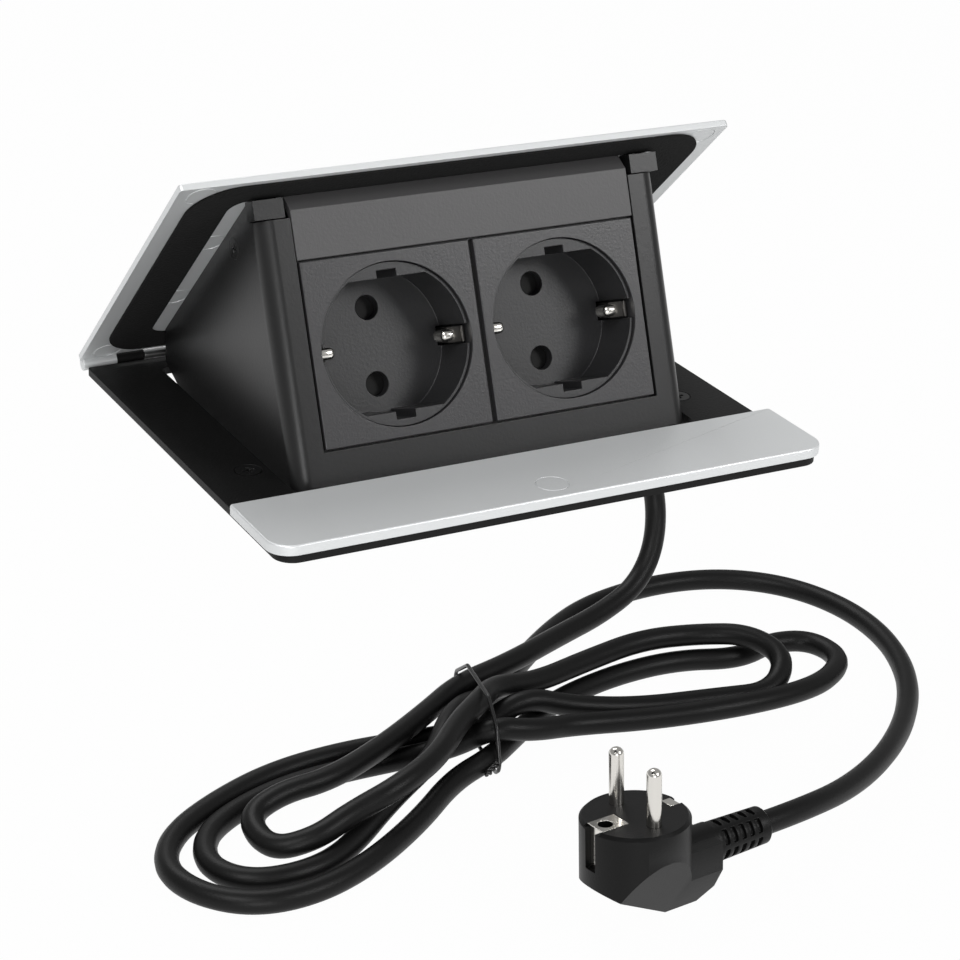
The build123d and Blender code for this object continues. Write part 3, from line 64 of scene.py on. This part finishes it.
# Supply cord: 8 mm black rubber-sheathed three-core cord, about 2.3 m long. It leaves the gland
# under the housing, hangs to the surface below the desk, lies there in a hank of loops held by a
# wire tie, and ends in the angled plug.
lying = -0.194
cord_dia = 0.008
gland_tip = (0.035, 0.031, -0.0235)
relief_run = (0.15777, 0.04479, -0.18091)
relief_tip = (0.14188, 0.04298, -0.18091)
lead_points = [
    gland_tip, (0.035, 0.031, -0.038),
    (0.0385, 0.0385, -0.0465), (0.0490, 0.0570, -0.0515), (0.0720, 0.0900, -0.0590),
    (0.1050, 0.1320, -0.0700), (0.1390, 0.1720, -0.0850), (0.1710, 0.2040, -0.1030),
    (0.1980, 0.2230, -0.1250), (0.2085, 0.2220, -0.1480), (0.2050, 0.2140, -0.1670),
    (0.1940, 0.2080, -0.1805), (0.1740, 0.2010, -0.1853), (0.1520, 0.1925, -0.1855),
]
hank_points = [
    (0.1221, 0.1776, -0.1838), (0.0983, 0.1712, -0.1840), (0.0788, 0.1585, -0.1849),
    (0.0555, 0.1444, -0.1853), (0.0310, 0.1326, -0.1853), (0.0131, 0.1327, -0.1861),
    (-0.0014, 0.1275, -0.1892), (-0.0006, 0.1097, -0.1916), (0.0130, 0.1045, -0.1878),
    (0.0274, 0.1086, -0.1843), (0.0439, 0.1077, -0.1780), (0.0638, 0.1188, -0.1773),
    (0.0795, 0.1353, -0.1768), (0.0933, 0.1465, -0.1775), (0.1060, 0.1596, -0.1803),
    (0.1244, 0.1624, -0.1847), (0.1499, 0.1705, -0.1854), (0.1770, 0.1762, -0.1851),
    (0.1998, 0.1726, -0.1857), (0.2155, 0.1623, -0.1842), (0.2216, 0.1462, -0.1875),
    (0.2089, 0.1355, lying), (0.1875, 0.1393, -0.1936), (0.1572, 0.1458, lying),
    (0.1328, 0.1499, -0.1898),
    (0.1145, 0.1521, -0.1828), (0.0968, 0.1517, -0.1915), (0.0764, 0.1570, -0.1938),
    (0.0489, 0.1605, lying), (0.0204, 0.1577, -0.1939), (-0.0054, 0.1471, lying), (-0.0251, 0.1339, lying),
    (-0.0340, 0.1168, lying), (-0.0296, 0.0993, lying), (-0.0159, 0.0865, lying), (0.0041, 0.0846, lying),
    (0.0272, 0.0928, -0.1939), (0.0527, 0.1094, lying), (0.0739, 0.1271, -0.1935),
    (0.0918, 0.1325, -0.1915), (0.1054, 0.1423, -0.1919), (0.1181, 0.1532, -0.1939),
    (0.1362, 0.1637, lying), (0.1639, 0.1708, lying), (0.1900, 0.1713, lying), (0.2124, 0.1627, lying),
    (0.2297, 0.1690, lying), (0.2452, 0.1644, lying), (0.2476, 0.1469, lying), (0.2330, 0.1351, lying),
    (0.2114, 0.1276, -0.1916), (0.1838, 0.1261, -0.1900), (0.1545, 0.1322, -0.1909),
    (0.1271, 0.1375, -0.1894), (0.1080, 0.1332, -0.1851), (0.0926, 0.1352, -0.1815),
    (0.0838, 0.1452, -0.1920), (0.0665, 0.1482, lying), (0.0446, 0.1491, lying), (0.0224, 0.1479, lying),
    (0.0011, 0.1409, lying), (-0.0155, 0.1294, lying), (-0.0211, 0.1121, lying), (-0.0121, 0.0984, lying),
    (0.0074, 0.0962, lying), (0.0244, 0.1034, lying), (0.0451, 0.1167, -0.1882), (0.0684, 0.1306, -0.1854),
    (0.0826, 0.1478, -0.1819), (0.0964, 0.1595, -0.1842), (0.1111, 0.1688, -0.1921),
    (0.1298, 0.1882, -0.1936),
]
tail_points = [
    (0.1585, 0.2115, lying), (0.1840, 0.2250, lying), (0.2153, 0.2297, lying), (0.2429, 0.2239, lying),
    (0.2632, 0.2074, lying), (0.2735, 0.1823, lying), (0.2728, 0.1537, lying), (0.2617, 0.1245, lying),
    (0.2420, 0.0990, -0.1934), (0.2155, 0.0753, -0.1900), (0.1870, 0.0570, -0.1860),
    relief_run, relief_tip,
]
cord_points = lead_points + hank_points + tail_points


def cord_curve(name, points, radius, rounds):
    """A NURBS curve with the route's points as its control points, round with a radius or bare."""
    data = bpy.data.curves.new(name, "CURVE")
    data.dimensions = "3D"
    spline = data.splines.new("NURBS")
    spline.points.add(len(points) - 1)
    for knot, spot in zip(spline.points, points):
        knot.co = (*spot, 1.0)
    spline.order_u = 3
    spline.use_endpoint_u = True
    spline.resolution_u = 10
    data.bevel_depth = radius
    data.bevel_resolution = rounds
    data.use_fill_caps = radius > 0
    obj = bpy.data.objects.new(name, data)
    bpy.context.scene.collection.objects.link(obj)
    return obj


def curve_mesh(curve, name):
    """The curve as a smooth mesh object of its own; the curve goes."""
    mesh = bpy.data.meshes.new_from_object(curve)
    mesh.name = name
    bpy.data.objects.remove(curve)
    made = bpy.data.objects.new(name, mesh)
    bpy.context.scene.collection.objects.link(made)
    for face in mesh.polygons:
        face.use_smooth = True
    return made


route_curve = cord_curve("cord_route", cord_points, radius=0.0, rounds=0)
middle_line = curve_mesh(route_curve, "cord_route")
bpy.data.objects.remove(middle_line)
tube_curve = cord_curve("cord_tube", cord_points, radius=cord_dia / 2, rounds=6)
supply_cord = curve_mesh(tube_curve, "supply_cord")


def surface_group():
    """Fine relief of a moulded, coated or rubber surface: tone, roughness and normal that vary."""
    group = bpy.data.node_groups.new("surface_relief", "ShaderNodeTree")
    face = group.interface
    colour = face.new_socket(name="Colour", in_out="INPUT", socket_type="NodeSocketColor")
    colour.default_value = (0.5, 0.5, 0.5, 1)
    for name, value in (
        ("Grain Scale", 900.0), ("Grain Height", 0.1), ("Cloud Scale", 25.0),
        ("Cloud Tone", 0.08), ("Roughness", 0.4), ("Roughness Spread", 0.06),
    ):
        face.new_socket(name=name, in_out="INPUT", socket_type="NodeSocketFloat").default_value = value
    face.new_socket(name="Colour", in_out="OUTPUT", socket_type="NodeSocketColor")
    face.new_socket(name="Roughness", in_out="OUTPUT", socket_type="NodeSocketFloat")
    face.new_socket(name="Normal", in_out="OUTPUT", socket_type="NodeSocketVector")
    new, link = group.nodes.new, group.links.new
    given, out = new("NodeGroupInput"), new("NodeGroupOutput")
    place = new("ShaderNodeTexCoord")
    grain = new("ShaderNodeTexNoise")
    grain.inputs["Detail"].default_value = 3.0
    link(place.outputs["Object"], grain.inputs["Vector"])
    link(given.outputs["Grain Scale"], grain.inputs["Scale"])
    cloud = new("ShaderNodeTexNoise")
    cloud.inputs["Detail"].default_value = 4.0
    link(place.outputs["Object"], cloud.inputs["Vector"])
    link(given.outputs["Cloud Scale"], cloud.inputs["Scale"])
    centred = new("ShaderNodeMath")
    centred.operation = "SUBTRACT"
    centred.inputs[1].default_value = 0.5
    link(cloud.outputs["Fac"], centred.inputs[0])
    tone = new("ShaderNodeMath")
    tone.operation = "MULTIPLY_ADD"
    tone.inputs[2].default_value = 1.0
    link(centred.outputs[0], tone.inputs[0])
    link(given.outputs["Cloud Tone"], tone.inputs[1])
    tinted = new("ShaderNodeVectorMath")
    tinted.operation = "SCALE"
    link(given.outputs["Colour"], tinted.inputs[0])
    link(tone.outputs[0], tinted.inputs["Scale"])
    link(tinted.outputs[0], out.inputs["Colour"])
    rough = new("ShaderNodeMath")
    rough.operation = "MULTIPLY_ADD"
    link(centred.outputs[0], rough.inputs[0])
    link(given.outputs["Roughness Spread"], rough.inputs[1])
    link(given.outputs["Roughness"], rough.inputs[2])
    link(rough.outputs[0], out.inputs["Roughness"])
    relief = new("ShaderNodeBump")
    relief.inputs["Distance"].default_value = 0.0002
    link(given.outputs["Grain Height"], relief.inputs["Strength"])
    link(grain.outputs["Fac"], relief.inputs["Height"])
    link(relief.outputs["Normal"], out.inputs["Normal"])
    return group


relief_group = surface_group()


def finish(name, colour, roughness, metallic=0.0, grain=(900.0, 0.1), cloud=(25.0, 0.08), spread=0.06,
           specular=0.5):
    """A material whose colour, roughness and relief come from the shared group."""
    made = bpy.data.materials.new(name)
    made.use_nodes = True
    tree = made.node_tree
    shader = tree.nodes["Principled BSDF"]
    shader.inputs["Metallic"].default_value = metallic
    shader.inputs["Specular IOR Level"].default_value = specular
    group = tree.nodes.new("ShaderNodeGroup")
    group.node_tree = relief_group
    group.inputs["Colour"].default_value = (*colour, 1)
    group.inputs["Roughness"].default_value = roughness
    group.inputs["Roughness Spread"].default_value = spread
    group.inputs["Grain Scale"].default_value, group.inputs["Grain Height"].default_value = grain
    group.inputs["Cloud Scale"].default_value, group.inputs["Cloud Tone"].default_value = cloud
    tree.links.new(group.outputs["Colour"], shader.inputs["Base Color"])
    tree.links.new(group.outputs["Roughness"], shader.inputs["Roughness"])
    tree.links.new(group.outputs["Normal"], shader.inputs["Normal"])
    return made


def dress(obj, made):
    """Gives an object one material all over."""
    obj.data.materials.clear()
    obj.data.materials.append(made)


cord_rubber = finish("cord_rubber", (0.0045, 0.0045, 0.0045), roughness=0.42,
                     grain=(1500.0, 0.3), cloud=(60.0, 0.3), specular=0.2)
dress(supply_cord, cord_rubber)
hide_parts("cord_lead", "cord_hank", "cord_tail")
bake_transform(supply_cord)


# Wire tie: coated wire bent once round the bundle of cord, with its two ends twisted together at
# the front, where they lie against the cord.
tie_coat = finish("tie_coat", (0.008, 0.008, 0.008), roughness=0.3)
dress(nodes["cord_tie"], tie_coat)
tie_radius = 0.0007
twist_start = Vector((0.0922, 0.1284, -0.1915))
twist_run = Vector((-0.0062, -0.0030, -0.0014))
twist_side = twist_run.cross(Vector((0, 0, 1))).normalized() * tie_radius
twist_over = twist_run.cross(twist_side).normalized() * tie_radius
twist_turns = 1.75
twist_steps = 18
twist_ends = []
for phase in (0.0, math.pi):
    turned = [phase + 2 * math.pi * twist_turns * i / twist_steps for i in range(twist_steps + 1)]
    strand = [
        twist_start + twist_run * (i / twist_steps) + twist_side * math.cos(a) + twist_over * math.sin(a)
        for i, a in enumerate(turned)
    ]
    strand_curve = cord_curve("tie_strand", strand, radius=tie_radius, rounds=3)
    twist_ends.append(curve_mesh(strand_curve, "tie_twist"))
for strand in twist_ends:
    strand.select_set(True)
bpy.context.view_layer.objects.active = twist_ends[0]
bpy.ops.object.join()
tie_twist = twist_ends[0]
dress(tie_twist, tie_coat)
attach(tie_twist, "flange")
bpy.ops.object.select_all(action="DESELECT")


# Desk flange: one black powder-coated sheet with a cut-out for the housing, bent side lips and
# rolled hinge knuckles, held to the desk by two countersunk cross-recess screws.
weld_gap = 0.000004
flat_within = math.radians(0.6)
corner_over = math.radians(38)
smooth_under = math.radians(35)


def softened(node, made, body, edge_width):
    """The piece as it shows: a copy of its CAD node with merged facets and broken edges."""
    source = nodes[node]
    obj = bpy.data.objects.new("shown_" + node, source.data.copy())
    bpy.context.scene.collection.objects.link(obj)
    obj.data.transform(source.matrix_world)
    bpy.ops.object.select_all(action="DESELECT")
    obj.select_set(True)
    bpy.context.view_layer.objects.active = obj
    bpy.ops.object.mode_set(mode="EDIT")
    bpy.ops.mesh.select_all(action="SELECT")
    bpy.ops.mesh.remove_doubles(threshold=weld_gap)
    bpy.ops.mesh.dissolve_limited(angle_limit=flat_within)
    bpy.ops.object.mode_set(mode="OBJECT")
    edge = obj.modifiers.new("edge", "BEVEL")
    edge.width = edge_width
    edge.segments = 2
    edge.limit_method = "ANGLE"
    edge.angle_limit = corner_over
    edge.use_clamp_overlap = True
    bpy.ops.object.modifier_apply(modifier="edge")
    bpy.ops.object.shade_smooth_by_angle(angle=smooth_under)
    flat = obj.modifiers.new("flat", "WEIGHTED_NORMAL")
    flat.keep_sharp = True
    bpy.ops.object.modifier_apply(modifier="flat")
    dress(obj, made)
    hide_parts(node)
    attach(obj, body)
    bpy.ops.object.select_all(action="DESELECT")
    return obj


flange_coat = finish("flange_coat", (0.004, 0.004, 0.004), roughness=0.55,
                     grain=(1400.0, 0.35), cloud=(40.0, 0.15), specular=0.2)
softened("flange_plate", flange_coat, "flange", edge_width=0.0002)
screw_black = finish("screw_black", (0.03, 0.03, 0.03), roughness=0.32, metallic=0.8)
softened("fixing_screws", screw_black, "flange", edge_width=0.00015)
for name in ("strip_screws", "cover_screws", "rail_screws"):
    dress(nodes[name], screw_black)


# Front strip: silver-lacquered cover plate over the latch, with rounded front corners. The button
# is a disc of the same finish, flush in the strip, and the only thing that shows of the latch.
silver = finish("silver_lacquer", (0.69, 0.705, 0.71), roughness=0.38, metallic=0.4,
                grain=(2500.0, 0.12), cloud=(12.0, 0.03), spread=0.03)
softened("front_strip", silver, "flange", edge_width=0.00018)
softened("release_button", silver, "release_button", edge_width=0.00012)
plated_steel = finish("plated_steel", (0.55, 0.55, 0.54), roughness=0.3, metallic=1.0)
dress(nodes["latch_slide"], flange_coat)
spring_steel = finish("spring_steel", (0.5, 0.5, 0.5), roughness=0.28, metallic=1.0)
for name in ("latch_springs", "left_hinge_spring", "right_hinge_spring", "left_shutter_spring",
             "right_shutter_spring"):
    dress(nodes[name], spring_steel)
dress(nodes["hinge_pins"], plated_steel)


# Lid: silver-lacquered sheet over the unit, rolled into knuckles round the hinge pins at the
# rear. A ring of black foam is stuck to its underside, round the housing.
softened("lid_plate", silver, "lid_unit", edge_width=0.00018)
foam = finish("foam", (0.004, 0.004, 0.004), roughness=0.95,
              grain=(1500.0, 1.0), cloud=(700.0, 1.2), specular=0.3)
softened("lid_gasket", foam, "lid_unit", edge_width=0.0002)


# Housing: satin black moulded wedge with rounded posts beside the sockets, closed at the top by
# the header bar and held to the lid by side rails and screws.
housing_black = finish("housing_black", (0.008, 0.008, 0.0082), roughness=0.34,
                       grain=(1200.0, 0.12), specular=0.4)
softened("housing_shell", housing_black, "lid_unit", edge_width=0.00025)
for name in ("left_lid_rail", "right_lid_rail"):
    softened(name, housing_black, "lid_unit", edge_width=0.0002)
dress(nodes["bottom_cover"], housing_black)
header_black = finish("header_black", (0.05, 0.049, 0.05), roughness=0.45, grain=(1400.0, 0.15))
softened("header_bar", header_black, "lid_unit", edge_width=0.0002)
softened("side_screws", screw_black, "lid_unit", edge_width=0.00015)
frame_dark = finish("frame_dark", (0.012, 0.012, 0.012), roughness=0.5)
for name in ("module_frame", "gland_nut", "left_contact_carrier", "right_contact_carrier"):
    dress(nodes[name], frame_dark)


# Sockets: satin black covers with the round recess and its moulded cup, each held in the dark
# frame. The nickel noses of the earth strap reach in at the sides of the recess, and the shutter
# and the brass contacts lie behind the pin holes.
socket_black = finish("socket_black", (0.024, 0.0235, 0.025), roughness=0.36, grain=(1600.0, 0.2))
cup_black = finish("cup_black", (0.016, 0.016, 0.017), roughness=0.4, grain=(1600.0, 0.2))
shutter_black = finish("shutter_black", (0.002, 0.002, 0.002), roughness=0.5, specular=0.2)
nickel = finish("nickel", (0.74, 0.72, 0.68), roughness=0.18, metallic=1.0, grain=(700.0, 0.05))
# The strap's nickel is set far darker than bright nickel: painted shade for the slot that the strap sits
# in.
strap_nickel_painted_shade = finish("strap_nickel_painted_shade", (0.12, 0.115, 0.11), roughness=0.4, metallic=1.0)
brass = finish("brass", (0.78, 0.58, 0.3), roughness=0.3, metallic=1.0)
face_lean = math.radians(21.4)
face_normal = Vector((0, -math.cos(face_lean), math.sin(face_lean)))
module_x = {"left": -0.0231, "right": 0.0231}
module_centre = (-0.01909, 0.03035)
nose_reach = 0.0166
nose_deep = 0.008
nose_size = (0.0046, 0.006, 0.003)
nose_round = 0.0013
for side in ("left", "right"):
    softened(f"{side}_socket_cover", socket_black, "lid_unit", edge_width=0.0002)
    softened(f"{side}_socket_insert", cup_black, "lid_unit", edge_width=0.00018)
    softened(f"{side}_earth_strap", strap_nickel_painted_shade, "lid_unit", edge_width=0.0002)
    centre = Vector((module_x[side], *module_centre))
    for hand in (-1, 1):
        nose_place = centre + Vector((hand * nose_reach, 0, 0)) - face_normal * nose_deep
        bpy.ops.mesh.primitive_cube_add(size=1, location=nose_place)
        nose = bpy.context.object
        nose.scale = nose_size
        nose.rotation_euler = (-face_lean, 0, 0)
        bpy.ops.object.transform_apply(location=True, rotation=True, scale=True)
        round_off = nose.modifiers.new("round", "BEVEL")
        round_off.width = nose_round
        round_off.segments = 4
        bpy.ops.object.modifier_apply(modifier="round")
        bpy.ops.object.shade_smooth()
        dress(nose, nickel)
        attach(nose, "lid_unit")
        nose.name = f"{side}_clip_nose"
    dress(nodes[f"{side}_shutter"], shutter_black)
    dress(nodes[f"{side}_line_contact"], brass)
    dress(nodes[f"{side}_neutral_contact"], brass)
for name, colour in (("line_wires", (0.2, 0.08, 0.03)), ("neutral_wires", (0.05, 0.12, 0.45)),
                     ("earth_wires", (0.2, 0.4, 0.05))):
    dress(nodes[name], finish(name + "_cover", colour, roughness=0.45))


# Plug: one black moulding round the pins and the nickel earth contacts, wedge-shaped below, with
# a neck towards the cord. The gland's boot under the housing is the same rubber.
plug_black = finish("plug_black", (0.0035, 0.0035, 0.0035), roughness=0.42,
                    grain=(1600.0, 0.25), specular=0.2)
plug_shown = softened("plug_body", plug_black, "flange", edge_width=0.0009)
gland_shown = softened("cord_gland", plug_black, "lid_unit", edge_width=0.0003)
pins_shown = softened("plug_pins", nickel, "flange", edge_width=0.0001)
earth_shown = softened("plug_earth_contact", nickel, "flange", edge_width=0.00015)


# Strain relief: a tapered rubber sleeve on the plug's neck, with five rows of slots round it that
# let it bend, and a plain collar at its tip.
relief_long = 0.022
relief_root = 0.0067
relief_end = 0.0062
relief_sectors = 6
relief_facets = 48
slot_wide = 0.0018
slot_pitch = 0.0034
slot_first = 0.0022
slot_deep = 0.0013
slot_rows = 5
slot_share = 0.72
collar_long = 0.0012
collar_step = 0.0003
collar_from = 0.98
collar_thin = 0.88
side_facing = 0.5
slot_edge = 0.00025
slot_corner = math.radians(40)
ring_marks = []
for row in range(slot_rows):
    ring_marks += [slot_first + row * slot_pitch, slot_first + row * slot_pitch + slot_wide]
ring_marks += [relief_long - collar_long, relief_long - collar_long + collar_step, relief_long]
bpy.ops.mesh.primitive_circle_add(vertices=relief_facets, radius=relief_root, fill_type="NGON")
relief_shown = bpy.context.object
relief_shown.name = "shown_strain_relief"
bpy.ops.object.mode_set(mode="EDIT")
bpy.ops.mesh.select_all(action="SELECT")
reached = 0.0
for mark in ring_marks:
    bpy.ops.mesh.extrude_region_move(TRANSFORM_OT_translate={"value": (0, 0, mark - reached)})
    reached = mark
bpy.ops.mesh.select_all(action="SELECT")
bpy.ops.mesh.normals_make_consistent(inside=False)
bpy.ops.mesh.select_all(action="DESELECT")
bpy.ops.mesh.select_mode(type="FACE")
bpy.ops.object.mode_set(mode="OBJECT")
for face in relief_shown.data.polygons:
    middle = face.center
    row = (middle.z - slot_first) / slot_pitch
    in_row = 0 <= row < slot_rows and (row % 1) * slot_pitch < slot_wide
    turn = math.degrees(math.atan2(middle.y, middle.x)) % (360 / relief_sectors)
    face.select = in_row and abs(face.normal.z) < side_facing and turn < slot_share * 360 / relief_sectors
bpy.ops.object.mode_set(mode="EDIT")
bpy.ops.mesh.extrude_region_shrink_fatten(TRANSFORM_OT_shrink_fatten={"value": -slot_deep})
bpy.ops.object.mode_set(mode="OBJECT")
for corner in relief_shown.data.vertices:
    share = corner.co.z / relief_long
    thin = 1 - share * (1 - relief_end / relief_root)
    if share > collar_from:
        thin *= collar_thin
    corner.co.x *= thin
    corner.co.y *= thin
soft = relief_shown.modifiers.new("edge", "BEVEL")
soft.width = slot_edge
soft.segments = 2
soft.limit_method = "ANGLE"
soft.angle_limit = slot_corner
bpy.ops.object.modifier_apply(modifier="edge")
bpy.ops.object.shade_smooth_by_angle(angle=smooth_under)
neck = Vector(relief_run) - Vector(relief_tip)
neck.normalize()
across = Vector((0, 0, 1)).cross(neck).normalized()
turned_to_cord = Matrix((across, neck.cross(across), neck)).transposed().to_4x4()
relief_foot = Vector(relief_tip) - neck * relief_long
relief_shown.data.transform(Matrix.Translation(relief_foot) @ turned_to_cord)
dress(relief_shown, plug_black)
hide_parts("plug_strain_relief")
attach(relief_shown, "flange")


# Studio: white floor at the height where the cord lies, white surroundings for camera rays, and
# four large soft lamps round the unit.
floor_size = 8.0
floor_height = -0.1982
floor_glow = 0.98
room_light = 0.36
bpy.ops.object.select_all(action="DESELECT")
bpy.ops.mesh.primitive_plane_add(size=floor_size, location=(0, 0, floor_height))
floor = bpy.context.object
floor.name = "floor"
floor_white = bpy.data.materials.new("floor_white")
floor_white.use_nodes = True
tree = floor_white.node_tree
shader = tree.nodes["Principled BSDF"]
shader.inputs["Base Color"].default_value = (0.5, 0.5, 0.5, 1)
shader.inputs["Roughness"].default_value = 0.9
shader.inputs["Specular IOR Level"].default_value = 0.1
light_path = tree.nodes.new("ShaderNodeLightPath")
seen = tree.nodes.new("ShaderNodeMath")
seen.operation = "MAXIMUM"
tree.links.new(light_path.outputs["Is Camera Ray"], seen.inputs[0])
tree.links.new(light_path.outputs["Is Glossy Ray"], seen.inputs[1])
white = tree.nodes.new("ShaderNodeEmission")
white.inputs["Strength"].default_value = 1.0
mixed = tree.nodes.new("ShaderNodeMixShader")
glow = tree.nodes.new("ShaderNodeMath")
glow.operation = "MULTIPLY"
glow.inputs[1].default_value = floor_glow
tree.links.new(seen.outputs[0], glow.inputs[0])
tree.links.new(glow.outputs[0], mixed.inputs["Fac"])
tree.links.new(shader.outputs[0], mixed.inputs[1])
tree.links.new(white.outputs[0], mixed.inputs[2])
tree.links.new(mixed.outputs[0], tree.nodes["Material Output"].inputs["Surface"])
floor.data.materials.append(floor_white)

world = bpy.data.worlds.new("studio")
bpy.context.scene.world = world
world.use_nodes = True
tree = world.node_tree
sky = tree.nodes["Background"]
sky.inputs["Color"].default_value = (1, 1, 1, 1)
sky.inputs["Strength"].default_value = room_light
bright = tree.nodes.new("ShaderNodeBackground")
bright.inputs["Color"].default_value = (1, 1, 1, 1)
bright.inputs["Strength"].default_value = 1.0
ray = tree.nodes.new("ShaderNodeLightPath")
mix = tree.nodes.new("ShaderNodeMixShader")
tree.links.new(ray.outputs["Is Camera Ray"], mix.inputs["Fac"])
tree.links.new(sky.outputs[0], mix.inputs[1])
tree.links.new(bright.outputs[0], mix.inputs[2])
tree.links.new(mix.outputs[0], tree.nodes["World Output"].inputs["Surface"])


def softbox(name, place, aim, size, power):
    """A square area lamp that points at a spot."""
    data = bpy.data.lights.new(name, "AREA")
    data.size = size
    data.energy = power
    lamp = bpy.data.objects.new(name, data)
    bpy.context.scene.collection.objects.link(lamp)
    direction = Vector(aim) - Vector(place)
    lamp.rotation_euler = direction.to_track_quat("-Z", "Y").to_euler()
    lamp.location = place


softbox("key", place=(-0.9, -0.6, 1.2), aim=(0.05, 0.05, -0.05), size=0.7, power=13.0)
softbox("fill", place=(0.8, -1.0, 0.75), aim=(0.05, 0.0, 0.03), size=0.5, power=8.0)
softbox("front", place=(-0.5, -1.3, 0.12), aim=(0.0, -0.05, 0.0), size=0.5, power=6.5)
softbox("back", place=(0.1, 1.1, 1.2), aim=(0.05, 0.1, 0.0), size=0.9, power=9.0)
